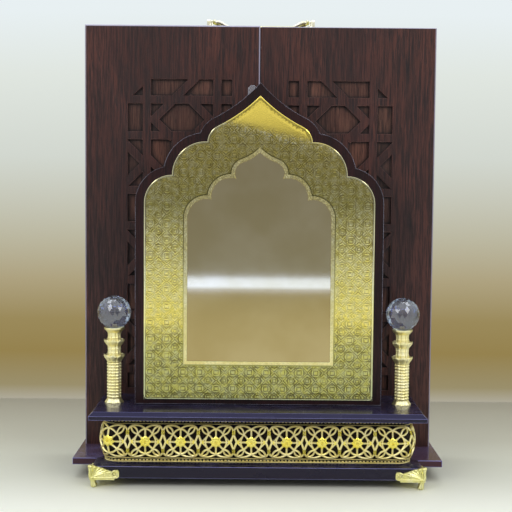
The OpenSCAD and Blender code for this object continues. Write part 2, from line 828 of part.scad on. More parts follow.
module handle_post(s) {
    color(gold) difference() {
        translate([s * handle_span / 2, handle_y, case_top]) {
            difference() {
                cylinder(r = mount_r, h = mount_t);
                translate([0, 0, mount_t]) screw(screw_r, screw_head_r - 0.6, screw_len, seat_fit);
            }
            translate([s * post_offset, 0, 0]) {
                translate([-ear_t / 2, -post_w / 2, 0]) cube([ear_t, post_w, pivot_h]);
                translate([-ear_t / 2, 0, pivot_h]) rotate([0, 90, 0])
                    cylinder(r = post_w / 2, h = ear_t);
            }
        }
        translate([0, handle_y, handle_z]) rotate([0, 90, 0])
            cylinder(r = handle_pin_r + pin_fit, h = handle_span + 20, center = true);
    }
}

module handle_post_left() { handle_post(-1); }
module handle_post_right() { handle_post(1); }

module handle_screws() {
    color(gold) handle_places() screw(screw_r, screw_head_r - 0.6, screw_len);
}

// Round bar between two points
module rod(a, b, r) {
    d = b - a;
    translate(a) rotate([0, acos(d[2] / norm(d)), atan2(d[1], d[0])]) cylinder(r = r, h = norm(d));
}

// Bail folded back: its arms lean inwards and down, and the grip lies just above the case
module handle_bail() {
    reach = handle_span / 2 - 2;
    fall = pivot_h - grip_r - 0.2;
    color(gold) translate([0, handle_y, handle_z]) {
        for (s = [-1, 1]) {
            pivot = [s * reach, 0, 0];
            knee = [s * (reach - arm_lean), arm_len, -fall];
            rod(pivot, pivot + [s * handle_pin_len, 0, 0], handle_pin_r);
            rod(pivot, knee, arm_r);
            translate(pivot) sphere(arm_r);
            translate(knee) sphere(grip_r);
        }
        rod([arm_lean - reach, arm_len, -fall], [reach - arm_lean, arm_len, -fall], grip_r);
    }
}

base_plate();
rear_batten();
plinth_board();
riser_block();
filigree_band();
ledge_board();
front_foot_left();
front_foot_right();
rear_feet();
base_screws();
backboard_left();
backboard_right();
stile_left();
stile_right();
top_rail();
bottom_rail();
back_panel();
back_screws();
base_dowels();
pillar_base_left();
pillar_base_right();
pillar_shaft_left();
pillar_shaft_right();
pillar_cup_left();
pillar_cup_right();
crystal_ball_left();
crystal_ball_right();
pillar_studs();
niche_side_left();
niche_side_right();
niche_roof_left();
niche_roof_right();
niche_back();
catch_magnet();
hinge_wall_leaves();
hinge_wall_screws();
hinge_pins();
door_board();
gold_plate();
bead_frame();
centre_plate();
hinge_door_leaves();
hinge_door_screws();
catch_keeper();
pull_tab();
handle_post_left();
handle_post_right();
handle_screws();
handle_bail();
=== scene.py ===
"""Looks of a carved display stand with a mihrab-shaped door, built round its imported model."""

import functools
import logging
import math
from dataclasses import dataclass, field
from enum import Enum

import bmesh
import bpy
import numpy as np
from mathutils import Matrix, Vector
from mathutils.geometry import delaunay_2d_cdt


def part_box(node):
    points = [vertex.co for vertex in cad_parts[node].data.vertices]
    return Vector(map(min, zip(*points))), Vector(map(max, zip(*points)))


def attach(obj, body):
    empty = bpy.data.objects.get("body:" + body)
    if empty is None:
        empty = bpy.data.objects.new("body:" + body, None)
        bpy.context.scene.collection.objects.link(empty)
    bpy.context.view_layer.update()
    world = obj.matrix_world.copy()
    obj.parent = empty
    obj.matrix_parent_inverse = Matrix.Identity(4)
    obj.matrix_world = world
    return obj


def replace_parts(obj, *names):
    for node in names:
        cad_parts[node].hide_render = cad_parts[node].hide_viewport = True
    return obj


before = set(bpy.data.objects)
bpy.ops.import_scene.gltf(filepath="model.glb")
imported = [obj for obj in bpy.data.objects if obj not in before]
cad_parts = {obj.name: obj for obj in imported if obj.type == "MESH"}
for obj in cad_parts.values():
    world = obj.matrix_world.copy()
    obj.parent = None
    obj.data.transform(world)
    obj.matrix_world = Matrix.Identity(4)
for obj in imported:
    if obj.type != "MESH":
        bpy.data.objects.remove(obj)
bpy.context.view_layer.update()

LOG = logging.getLogger("stand")
MM = 0.001
WELD, FLAT_ANGLE = 0.002, 0.6  # how near corners are joined, and which edges count as flat
STAND, DOOR = "stand", "mihrab_door"
FACES_FRONT = -0.9  # the y part of a normal below which a face looks forwards

Colour = tuple[float, float, float]
Socket = bpy.types.NodeSocket
Sockets = bpy.types.bpy_prop_collection


def srgb(red: int, green: int, blue: int) -> Colour:
    """Linear colour of an 8-bit screen colour."""
    return tuple(((v / 255 + 0.055) / 1.055) ** 2.4 for v in (red, green, blue))


class Grain(Enum):
    """Direction in which a board's grain runs, with the stretch of its texture."""

    UPRIGHT = (1.0, 1.0, 0.05)
    ALONG = (0.05, 1.0, 1.0)


class Side(Enum):
    """Left or right half of the stand, with its sign along x."""

    LEFT = -1
    RIGHT = 1

    @property
    def word(self) -> str:
        """The side's name as the nodes spell it."""
        return self.name.lower()


# ---------------------------------------------------------------- shader graphs


class Graph:
    """Adds and joins the nodes of one material or node group."""

    def __init__(self, tree: bpy.types.NodeTree) -> None:
        """Starts from an empty tree."""
        self.tree = tree
        tree.nodes.clear()

    def add(self, kind: str, **settings: object) -> bpy.types.Node:
        """Adds a node.

        Args:
            kind: the node's type without its ShaderNode prefix.
            settings: attributes to set on it.

        Returns:
            The new node.
        """
        node = self.tree.nodes.new(kind if kind.startswith("Node") else "ShaderNode" + kind)
        for name, value in settings.items():
            setattr(node, name, value)
        return node

    def put(self, socket: Socket, value: object) -> None:
        """Links a socket or sets its value."""
        if isinstance(value, bpy.types.NodeSocket):
            self.tree.links.new(value, socket)
        else:
            socket.default_value = value

    def feed(self, node: bpy.types.Node, values: dict[str | int, object]) -> Sockets:
        """Links or sets some inputs of a node and returns its outputs."""
        for name, value in values.items():
            self.put(node.inputs[name], value)
        return node.outputs

    def math(self, operation: str, *values: object) -> Socket:
        """Adds a Math node and returns its output."""
        return self.feed(self.add("Math", operation=operation), dict(enumerate(values)))[0]

    times = functools.partialmethod(math, "MULTIPLY")
    plus = functools.partialmethod(math, "ADD")
    minus = functools.partialmethod(math, "SUBTRACT")
    least = functools.partialmethod(math, "MINIMUM")
    most = functools.partialmethod(math, "MAXIMUM")
    size = functools.partialmethod(math, "ABSOLUTE")

    def scaled(self, vector: Socket, by: tuple[float, float, float]) -> Socket:
        """Multiplies a vector by three fixed factors."""
        return self.feed(self.add("VectorMath", operation="MULTIPLY"), {0: vector, 1: by})[0]

    def split(self, vector: Socket) -> tuple[Socket, Socket, Socket]:
        """The three parts of a vector."""
        return tuple(self.feed(self.add("SeparateXYZ"), {0: vector}))

    def looks_up(self) -> Socket:
        """How far a face looks up, as the z part of its normal."""
        return self.split(self.add("NewGeometry").outputs["Normal"])[2]

    def noise(self, vector: Socket, scale: object, detail: float = 3.0,
              roughness: float = 0.55) -> Socket:
        """Adds a noise texture and returns its value."""
        return self.feed(self.add("TexNoise"), {"Vector": vector, "Scale": scale, "Detail": detail,
                                                "Roughness": roughness})["Fac"]

    def spread(self, value: Socket, low: float, high: float, to_low: float = 0.0,
               to_high: float = 1.0) -> Socket:
        """Maps a value's range smoothly to another one."""
        node = self.add("MapRange", interpolation_type="SMOOTHSTEP")
        return self.feed(node, dict(enumerate((value, low, high, to_low, to_high))))[0]

    def hollows(self, reach: object) -> Socket:
        """Adds ambient occlusion of the piece by itself and returns its value."""
        node = self.add("AmbientOcclusion", samples=8, only_local=True)
        return self.feed(node, {"Distance": reach})["AO"]

    def mix(self, share: object, first: object, second: object, blend: str = "MIX") -> Socket:
        """Mixes two colours and returns the result."""
        node = self.add("Mix", data_type="RGBA", blend_type=blend)
        first, second = ((*v, 1.0) if isinstance(v, tuple) else v for v in (first, second))
        return self.feed(node, {"Factor": share, 6: first, 7: second})[2]

    def layer(self, below: object, above: object, mask: Socket, share: float) -> Socket:
        """Lays a share of one colour over another through a mask."""
        return self.mix(self.times(mask, share), below, above)

    def ramp(self, value: Socket, stops: list[tuple[float, Colour]]) -> Socket:
        """Colours a value through a ramp of stops."""
        node = self.add("ValToRGB")
        ramp = node.color_ramp
        while len(ramp.elements) < len(stops):
            ramp.elements.new(0.5)
        for element, (place, colour) in zip(ramp.elements, sorted(stops)):
            element.position = place
            element.color = (*colour, 1.0)
        return self.feed(node, {0: value})[0]

    def coordinates(self) -> Socket:
        """Object coordinates, in metres from the stand's origin."""
        return self.add("TexCoord").outputs["Object"]


class Effects:
    """The shared effects: each group is built once and placed in each material."""

    def __init__(self) -> None:
        """Builds every group."""
        self.groups = {tree.name: tree for tree in (
            self._edge_wear(), self._wood_figure(), self._cast_relief(), self._dust_and_sheen(),
            self._star_lines())}

    @staticmethod
    def _start(name: str, inputs: dict[str, float],
               *outputs: str) -> tuple[Graph, Sockets, Sockets]:
        """Starts a group.

        Args:
            name: the group's name.
            inputs: its numbers with their usual values; a vector always comes first.
            outputs: its numbers out.

        Returns:
            The group's graph, the sockets given to it and the sockets it fills.
        """
        tree = bpy.data.node_groups.new(name, "ShaderNodeTree")
        tree.interface.new_socket("Vector", in_out="INPUT", socket_type="NodeSocketVector")
        for key, value in inputs.items():
            socket = tree.interface.new_socket(key, in_out="INPUT", socket_type="NodeSocketFloat")
            socket.default_value = value
        for key in outputs:
            tree.interface.new_socket(key, in_out="OUTPUT", socket_type="NodeSocketFloat")
        graph = Graph(tree)
        return graph, graph.add("NodeGroupInput").outputs, graph.add("NodeGroupOutput").inputs

    def _edge_wear(self) -> bpy.types.NodeTree:
        """Mask of the arrises, for rubbed wear and for painted highlights: where the rounded normal
        leaves the face's own.
        """
        graph, given, out = self._start("edge_wear", {"Radius": 0.001, "Patchiness": 90.0}, "Mask")
        rounded = graph.feed(graph.add("Bevel", samples=4), {"Radius": given["Radius"]})[0]
        along = graph.feed(graph.add("VectorMath", operation="DOT_PRODUCT"), {
            0: rounded, 1: graph.add("NewGeometry").outputs["True Normal"]})["Value"]
        patches = graph.noise(given["Vector"], given["Patchiness"], 2.0)
        graph.put(out["Mask"], graph.times(graph.spread(along, 0.98, 0.72),
                                           graph.spread(patches, 0.3, 0.62, 0.35, 1.0)))
        return graph.tree

    def _wood_figure(self) -> bpy.types.NodeTree:
        """Wood figure: broad bands, fine streaks and open pores in a stretched space."""
        graph, given, out = self._start("wood_figure", {"Scale": 60.0}, "Bands", "Streaks", "Pores",
                                        "Height")
        bands, streaks, pores = (
            graph.noise(given["Vector"], graph.times(given["Scale"], size), detail, rough)
            for size, detail, rough in ((0.55, 4.0, 0.6), (10.0, 5.0, 0.72), (22.0, 2.0, 0.55)))
        pores = graph.spread(pores, 0.57, 0.68)
        graph.put(out["Bands"], graph.spread(bands, 0.32, 0.68))
        graph.put(out["Streaks"], graph.spread(streaks, 0.35, 0.65))
        graph.put(out["Pores"], pores)
        graph.put(out["Height"], graph.minus(streaks, pores))
        return graph.tree

    def _cast_relief(self) -> bpy.types.NodeTree:
        """Cast metal: a lumpy skin, and tarnish that gathers in the hollows."""
        graph, given, out = self._start("cast_relief", {"Scale": 900.0, "Reach": 0.003}, "Tarnish",
                                        "Height")
        skin = graph.noise(given["Vector"], given["Scale"])
        hollow = graph.spread(graph.hollows(given["Reach"]), 0.75, 0.25)
        graph.put(out["Tarnish"], graph.times(hollow, graph.spread(skin, 0.3, 0.6, 0.55, 1.0)))
        graph.put(out["Height"], skin)
        return graph.tree

    def _dust_and_sheen(self) -> bpy.types.NodeTree:
        """Pale coat on faces that look up, thicker in soft patches: partly a light dusting, partly a
        painted sheen.
        """
        graph, given, out = self._start("dust_and_sheen", {"Amount": 0.3}, "Mask")
        patches = graph.spread(graph.noise(given["Vector"], 35.0, 5.0), 0.35, 0.75, 0.3, 1.0)
        facing = graph.times(graph.spread(graph.looks_up(), 0.85, 1.0), patches)
        graph.put(out["Mask"], graph.times(facing, given["Amount"]))
        return graph.tree

    def _star_lines(self) -> bpy.types.NodeTree:
        """Etched lines of eight-pointed stars on a square net, in the plane of x and z."""
        graph, given, out = self._start("star_lines", {"Cell": 0.012, "Line": 0.03}, "Lines",
                                        "Fields")
        across, _, up = graph.split(given["Vector"])
        whole_cells = 40.0  # keeps the shares of a cell above zero over the whole plate

        def star(shift: float, sizes: tuple[float, ...]) -> Socket:
            """Distance to the lines of the stars whose middles are shifted by a share of a cell."""
            x, z = (graph.size(graph.minus(graph.math("FRACT", graph.plus(
                graph.math("DIVIDE", part, given["Cell"]), shift + whole_cells)), 0.5))
                for part in (across, up))
            forms = (graph.most(x, z), graph.times(graph.plus(x, z), math.sqrt(0.5))) * 2
            return functools.reduce(graph.least, [graph.size(graph.minus(form, size))
                                                  for form, size in zip(forms, sizes)])

        lines = graph.least(star(0.0, (0.27, 0.27, 0.13, 0.38)), star(0.5, (0.19, 0.19, 0.09)))
        graph.put(out["Lines"], graph.minus(1.0, graph.spread(lines, 0.0, given["Line"])))
        graph.put(out["Fields"], graph.spread(lines, 0.02, 0.09))
        return graph.tree

    def place(self, graph: Graph, name: str, **values: object) -> Sockets:
        """Places a group in a material with its own values.

        Args:
            graph: the material's graph.
            name: the group's name.
            values: a value or socket for each named input.

        Returns:
            The group node's outputs.
        """
        return graph.feed(graph.add("Group", node_tree=self.groups[name]), values)


EFFECTS = Effects()


@dataclass(frozen=True)
class Finish:
    """Base of a finish: a named material with one Principled shader."""

    name: str

    def build(self) -> bpy.types.Material:
        """Makes the material and returns it."""
        material = bpy.data.materials.new(self.name)
        material.use_nodes = True
        graph = Graph(material.node_tree)
        shader, out = graph.add("BsdfPrincipled"), graph.add("OutputMaterial")
        graph.put(out.inputs["Surface"], shader.outputs[0])
        graph.feed(shader, self.look(graph, graph.coordinates()))
        return material

    def look(self, graph: Graph, place: Socket) -> dict[str, object]:
        """What the shader is given.

        Args:
            graph: the material's graph.
            place: object coordinates, in metres.

        Returns:
            A socket or a fixed value for each input that is set.
        """
        raise NotImplementedError

    @staticmethod
    def bump(graph: Graph, height: Socket, strength: float, distance: float) -> Socket:
        """The surface's normal, raised by a height."""
        return graph.feed(graph.add("Bump"), {"Strength": strength, "Distance": distance,
                                              "Height": height})[0]


@dataclass(frozen=True)
class Wood(Finish):
    """Oiled hardwood with streaks, pores and rubbed arrises; some boards take a painted highlight on
    their arrises and painted shade in their hollows.
    """

    deep: Colour = srgb(20, 7, 9)
    middle: Colour = srgb(46, 20, 20)
    light: Colour = srgb(88, 50, 42)
    worn_and_highlight_tone: Colour = srgb(136, 96, 88)
    grain: Grain = Grain.UPRIGHT
    gloss: float = 0.46
    coat: float = 0.04
    specular: float = 0.35
    shade: float = 0.0
    # painted highlight: half width, front and top of the boards, whose front arrises get pale
    # painted lines
    outline: tuple[float, float, float] | None = None
    highlight_tone: Colour = srgb(190, 186, 210)

    def look(self, graph: Graph, place: Socket) -> dict[str, object]:
        """What the shader is given: see Finish.look."""
        figure = EFFECTS.place(graph, "wood_figure", Vector=graph.scaled(place, self.grain.value),
                               Scale=60.0)
        colour = graph.mix(figure["Bands"], self.deep, self.middle)
        colour = graph.layer(colour, self.light, figure["Streaks"], 0.7)
        colour = graph.layer(colour, self.deep, figure["Pores"], 0.8)
        broad = graph.noise(graph.scaled(place, (1.0, 1.0, 0.35)), 22.0)
        colour = graph.mix(graph.spread(broad, 0.35, 0.62, 0.5, 0.0), colour, self.deep)
        # painted shade: the colour darkens towards deep where the piece hems itself in, as in the
        # carved pockets' corners
        if self.shade:
            colour = graph.mix(graph.spread(graph.hollows(0.009), 0.97, 0.55, 0.0, self.shade),
                               colour, self.deep)
        # the arrises take the worn tone: real wear where it is a light wood colour, a painted
        # highlight where it is pale lavender
        rubbed_and_highlit_edges = EFFECTS.place(graph, "edge_wear", Vector=place, Radius=0.0009)
        colour = graph.layer(colour, self.worn_and_highlight_tone, rubbed_and_highlit_edges["Mask"], 0.7)
        # painted highlight: pale lines along the top and outer front arrises and along the joint of
        # the boards
        if self.outline is not None:
            colour = graph.mix(self.painted_edge_highlight(graph, place), colour, self.highlight_tone)
        return {"Base Color": colour,
                "Roughness": graph.spread(figure["Streaks"], 0.0, 1.0, self.gloss + 0.1,
                                          self.gloss - 0.05),
                "Specular IOR Level": self.specular, "Coat Weight": self.coat,
                "Coat Roughness": 0.22, "Normal": self.bump(graph, figure["Height"], 0.35, 0.00025)}

    def painted_edge_highlight(self, graph: Graph, place: Socket) -> Socket:
        """Mask of a painted highlight along the front arrises, a millimetre wide, and along the
        joint between the boards.
        """
        half, front, crest = self.outline
        across, deep, high = graph.split(place)
        seam = graph.size(graph.plus(across, 0.0008))
        lit = graph.most(graph.spread(high, crest - 0.0016, crest - 0.0009, 0.0, 0.9), graph.most(
            graph.spread(graph.size(across), half - 0.0014, half - 0.0008, 0.0, 0.5),
            graph.spread(seam, 0.0011, 0.0006, 0.0, 0.6)))
        return graph.times(lit, graph.spread(deep, front + 0.002, front + 0.0011))


@dataclass(frozen=True)
class Lacquer(Finish):
    """Near-black stained wood under gloss lacquer, with a painted bluish sheen on its sloping and
    top faces and painted highlights on its arrises.
    """

    stain: Colour = srgb(12, 9, 17)
    glow: Colour = srgb(24, 16, 30)
    # painted highlight: pale lavender on the lacquer's arrises
    worn_and_highlight_tone: Colour = srgb(150, 150, 206)
    # pale lavender on faces that look up: partly dusting, partly painted sheen
    dust_and_sheen_tone: Colour = srgb(128, 128, 190)
    # painted sheen: the lighter, bluer colour of faces that slope
    rim: Colour = srgb(32, 30, 62)
    dust_and_sheen: float = 0.14
    specular: float = 0.36
    sheen: Colour = (0.62, 0.62, 1.0)
    coat: float = 0.2

    def look(self, graph: Graph, place: Socket) -> dict[str, object]:
        """What the shader is given: see Finish.look."""
        figure = EFFECTS.place(graph, "wood_figure", Vector=graph.scaled(place, Grain.ALONG.value),
                               Scale=50.0)
        colour = graph.mix(figure["Bands"], self.stain, self.glow)
        rubbed_and_highlit_edges = EFFECTS.place(graph, "edge_wear", Vector=place, Radius=0.0011)
        colour = graph.layer(colour, self.worn_and_highlight_tone, rubbed_and_highlit_edges["Mask"], 0.7)
        up = graph.looks_up()
        # painted sheen: sloping faces take the rim colour, as if they caught the light
        slope_sheen = graph.times(graph.spread(up, 0.3, 0.6), graph.spread(up, 0.93, 0.85))
        colour = graph.layer(colour, self.rim, slope_sheen, 0.8)
        # faces that look up turn pale lavender: partly dusting, partly a painted sheen of the light
        # on the lacquer
        dust_and_sheen = EFFECTS.place(graph, "dust_and_sheen", Vector=place, Amount=self.dust_and_sheen)
        smear = graph.noise(place, 28.0, 4.0)
        return {"Base Color": graph.mix(dust_and_sheen["Mask"], colour, self.dust_and_sheen_tone),
                "Roughness": graph.spread(smear, 0.3, 0.7, 0.16, 0.3),
                "Specular IOR Level": self.specular, "Specular Tint": (*self.sheen, 1.0),
                "Coat Weight": self.coat, "Coat Roughness": 0.06,
                "Normal": self.bump(graph, figure["Height"], 0.12, 0.0001)}


@dataclass(frozen=True)
class CastGold(Finish):
    """Gold-plated casting, bright on the crests and brown in the hollows."""

    bright: Colour
    pale: Colour
    tarnish: Colour
    roughness: float = 0.24
    reach: float = 0.0025
    relief: float = 0.4

    def look(self, graph: Graph, place: Socket) -> dict[str, object]:
        """What the shader is given: see Finish.look."""
        cast = EFFECTS.place(graph, "cast_relief", Vector=place, Scale=700.0, Reach=self.reach)
        rubbed_and_highlit_edges = EFFECTS.place(graph, "edge_wear", Vector=place, Radius=0.0005, Patchiness=400.0)
        patches = graph.spread(graph.noise(place, 120.0), 0.35, 0.7)
        colour = graph.layer(self.bright, self.pale, patches, 0.45)
        colour = graph.layer(colour, self.pale, rubbed_and_highlit_edges["Mask"], 0.8)
        return {"Base Color": graph.layer(colour, self.tarnish, cast["Tarnish"], 0.8),
                "Metallic": 1.0,
                "Roughness": graph.spread(cast["Height"], 0.3, 0.7, self.roughness - 0.06,
                                          self.roughness + 0.12),
                "Normal": self.bump(graph, cast["Height"], self.relief, 0.0002)}


@dataclass(frozen=True)
class EtchedGold(Finish):
    """Gold sheet with an etched net of stars, laid out by the distance from its edge, with painted
    reflections across its height and a painted highlight on its top.
    """

    gold: Colour = srgb(250, 232, 128)
    pale: Colour = srgb(250, 242, 190)
    ink: Colour = srgb(70, 58, 22)
    moat: Colour = srgb(190, 178, 104)
    # painted highlight: colours of the plate's plain bright top and of the glints along its edge
    point: Colour = srgb(250, 226, 104)
    glint: Colour = (1.0, 0.98, 0.7)
    margin: float = 1.3
    line: float = 0.45
    moat_width: float = 4.0
    # painted highlight: height and lean of the line above which the plate is plain and bright
    highlight_from: float = 0.312
    highlight_lean: float = 0.22
    span: tuple[float, float] = (0.07, 0.35)

    def look(self, graph: Graph, place: Socket) -> dict[str, object]:
        """What the shader is given: see Finish.look."""
        edge, bead = (graph.add("Attribute", attribute_name=name).outputs["Fac"]
                      for name in ("edge_mm", "bead_mm"))
        wander = graph.feed(graph.add("TexNoise"), {"Vector": place, "Scale": 130.0})["Color"]
        bent = graph.feed(graph.add("VectorMath", operation="MULTIPLY_ADD"),
                          {0: wander, 1: (0.0009, 0.0, 0.0009), 2: place})[0]
        stars, fine = (EFFECTS.place(graph, "star_lines", Vector=bent, Cell=cell, Line=line)
                       for cell, line in ((0.0150, 0.045), (0.0050, 0.09)))
        across, _, high = graph.split(place)
        leaning = graph.plus(high, graph.times(across, self.highlight_lean))
        in_margin = graph.spread(edge, self.margin, self.margin + 0.2)
        off_moat = graph.spread(bead, self.moat_width, self.moat_width + 0.3)
        # the etching stops above the painted highlight's leaning line
        field_mask = graph.times(graph.times(in_margin, off_moat), graph.spread(
            leaning, self.highlight_from + 0.009, self.highlight_from))
        off_rule = graph.size(graph.minus(edge, self.margin + self.line))
        rule = graph.minus(1.0, graph.spread(off_rule, self.line * 0.4, self.line))
        ink = graph.most(graph.times(field_mask, graph.most(
            stars["Lines"], graph.times(fine["Lines"], 0.16))), rule)
        uneven = graph.spread(graph.noise(place, 160.0), 0.3, 0.65, 0.35, 1.0)
        # the etched lines fade in a band in the plate's lower half, where the painted reflection is
        # brightest
        ink_fade_band = graph.ramp(graph.spread(high, *self.span), [(at, (tone,) * 3) for at, tone in (
            (0.0, 1.0), (0.12, 0.9), (0.2, 0.35), (0.4, 0.4), (0.5, 1.0))])
        ink = graph.times(graph.times(ink, uneven), ink_fade_band)
        clouds = graph.spread(graph.noise(place, 260.0, 4.0), 0.35, 0.7)
        colour = graph.layer(self.gold, self.pale, clouds, 0.6)
        colour = graph.mix(graph.minus(1.0, off_moat), colour, self.moat)
        colour = graph.mix(graph.minus(1.0, in_margin), colour, self.pale)
        # painted reflection: the plate darker at its foot and top and bright in a band in its lower
        # half, as if it mirrored its surroundings
        painted_reflection = graph.ramp(graph.spread(high, *self.span), [
            (0.0, (0.5, 0.56, 0.56)), (0.09, (0.68, 0.72, 0.68)), (0.17, (1.0, 0.97, 0.72)),
            (0.4, (1.0, 1.0, 0.9)), (0.55, (0.9, 0.92, 0.95)), (0.7, (0.52, 0.54, 0.56)),
            (0.86, (0.5, 0.5, 0.5))])
        colour = graph.mix(1.0, colour, painted_reflection, "MULTIPLY")
        # painted highlight: plain bright gold above the leaning line, with painted glints along it
        point = graph.spread(leaning, self.highlight_from - 0.004, self.highlight_from + 0.012)
        colour = graph.mix(point, colour, self.point)
        off_line = graph.size(graph.minus(leaning, self.highlight_from))
        gleam = graph.times(graph.spread(off_line, 0.006, 0.0, 0.0, 0.6),
                            graph.spread(graph.noise(place, 420.0), 0.48, 0.66))
        colour = graph.mix(graph.times(gleam, off_moat), colour, self.glint)
        colour = graph.layer(colour, self.ink, ink, 0.92)
        rubbed_and_highlit_edges = EFFECTS.place(graph, "edge_wear", Vector=place, Radius=0.0006)
        grainy = graph.times(field_mask, graph.spread(clouds, 0.0, 1.0, 0.02, 0.1))
        height = graph.minus(graph.times(stars["Fields"], field_mask), ink)
        speckle = graph.times(graph.noise(place, 1500.0, 2.0), 0.5)
        return {"Base Color": graph.mix(rubbed_and_highlit_edges["Mask"], colour, self.pale), "Metallic": 1.0,
                "Roughness": graph.plus(graph.plus(grainy, graph.times(ink, 0.3)), 0.1),
                "Normal": self.bump(graph, graph.plus(height, speckle), 0.35, 0.0001)}


@dataclass(frozen=True)
class Champagne(Finish):
    """Satin champagne mirror with a fine drawn grain, faint clouds and a painted darker reflection
    on its lower part.
    """

    sheet: Colour = srgb(228, 214, 168)
    cloud: Colour = srgb(214, 198, 146)
    # painted reflection: the darker tone of the mirror's lower part, and where it starts
    foot: Colour = srgb(208, 200, 186)
    dark_reflection_top: float = 0.1755

    def look(self, graph: Graph, place: Socket) -> dict[str, object]:
        """What the shader is given: see Finish.look."""
        clouds = graph.spread(graph.noise(place, 14.0), 0.35, 0.65)
        grit = graph.noise(place, 2600.0, 2.0)
        colour = graph.mix(clouds, self.sheet, self.cloud)
        colour = graph.mix(graph.spread(grit, 0.45, 0.75, 0.0, 0.35), colour, self.cloud)
        # painted reflection: the mirror is darkened below a line low down, where it would show
        # darker surroundings
        low = graph.spread(graph.split(place)[2], self.dark_reflection_top, self.dark_reflection_top - 0.004)
        return {"Base Color": graph.mix(low, colour, self.foot, "MULTIPLY"), "Metallic": 1.0,
                "Roughness": graph.spread(grit, 0.3, 0.7, 0.03, 0.07),
                "Normal": self.bump(graph, grit, 0.03, 0.00001)}


@dataclass(frozen=True)
class ClearGlass(Finish):
    """Cut crystal or clear acrylic, with faint smears."""

    tint: Colour
    coat: float
    ior: float = 1.52
    smear: float = 0.05

    def look(self, graph: Graph, place: Socket) -> dict[str, object]:
        """What the shader is given: see Finish.look."""
        smears = graph.noise(place, 180.0)
        tint = graph.mix(graph.spread(smears, 0.5, 0.8, 0.0, 0.12), self.tint, (0.85, 0.88, 0.95))
        return {"Base Color": tint, "IOR": self.ior, "Transmission Weight": 1.0,
                "Coat Weight": self.coat, "Coat IOR": 2.0, "Coat Tint": (0.86, 0.91, 1.0, 1.0),
                "Coat Roughness": 0.02,
                "Roughness": graph.spread(smears, 0.4, 0.8, 0.0, self.smear),
                "Normal": self.bump(graph, smears, 0.03, 0.0002)}


@dataclass(frozen=True)
class Steel(Finish):
    """Turned and plated steel with fine scratches."""

    bright: Colour = srgb(200, 200, 204)
    dull: Colour = srgb(120, 118, 118)

    def look(self, graph: Graph, place: Socket) -> dict[str, object]:
        """What the shader is given: see Finish.look."""
        scratches = graph.noise(graph.scaled(place, (1.0, 1.0, 8.0)), 900.0)
        cast = EFFECTS.place(graph, "cast_relief", Vector=place, Scale=1200.0, Reach=0.002)
        colour = graph.mix(graph.spread(scratches, 0.35, 0.7), self.bright, self.dull)
        return {"Base Color": graph.layer(colour, self.dull, cast["Tarnish"], 0.7),
                "Metallic": 1.0, "Roughness": graph.spread(scratches, 0.3, 0.7, 0.22, 0.42),
                "Normal": self.bump(graph, scratches, 0.15, 0.0001)}


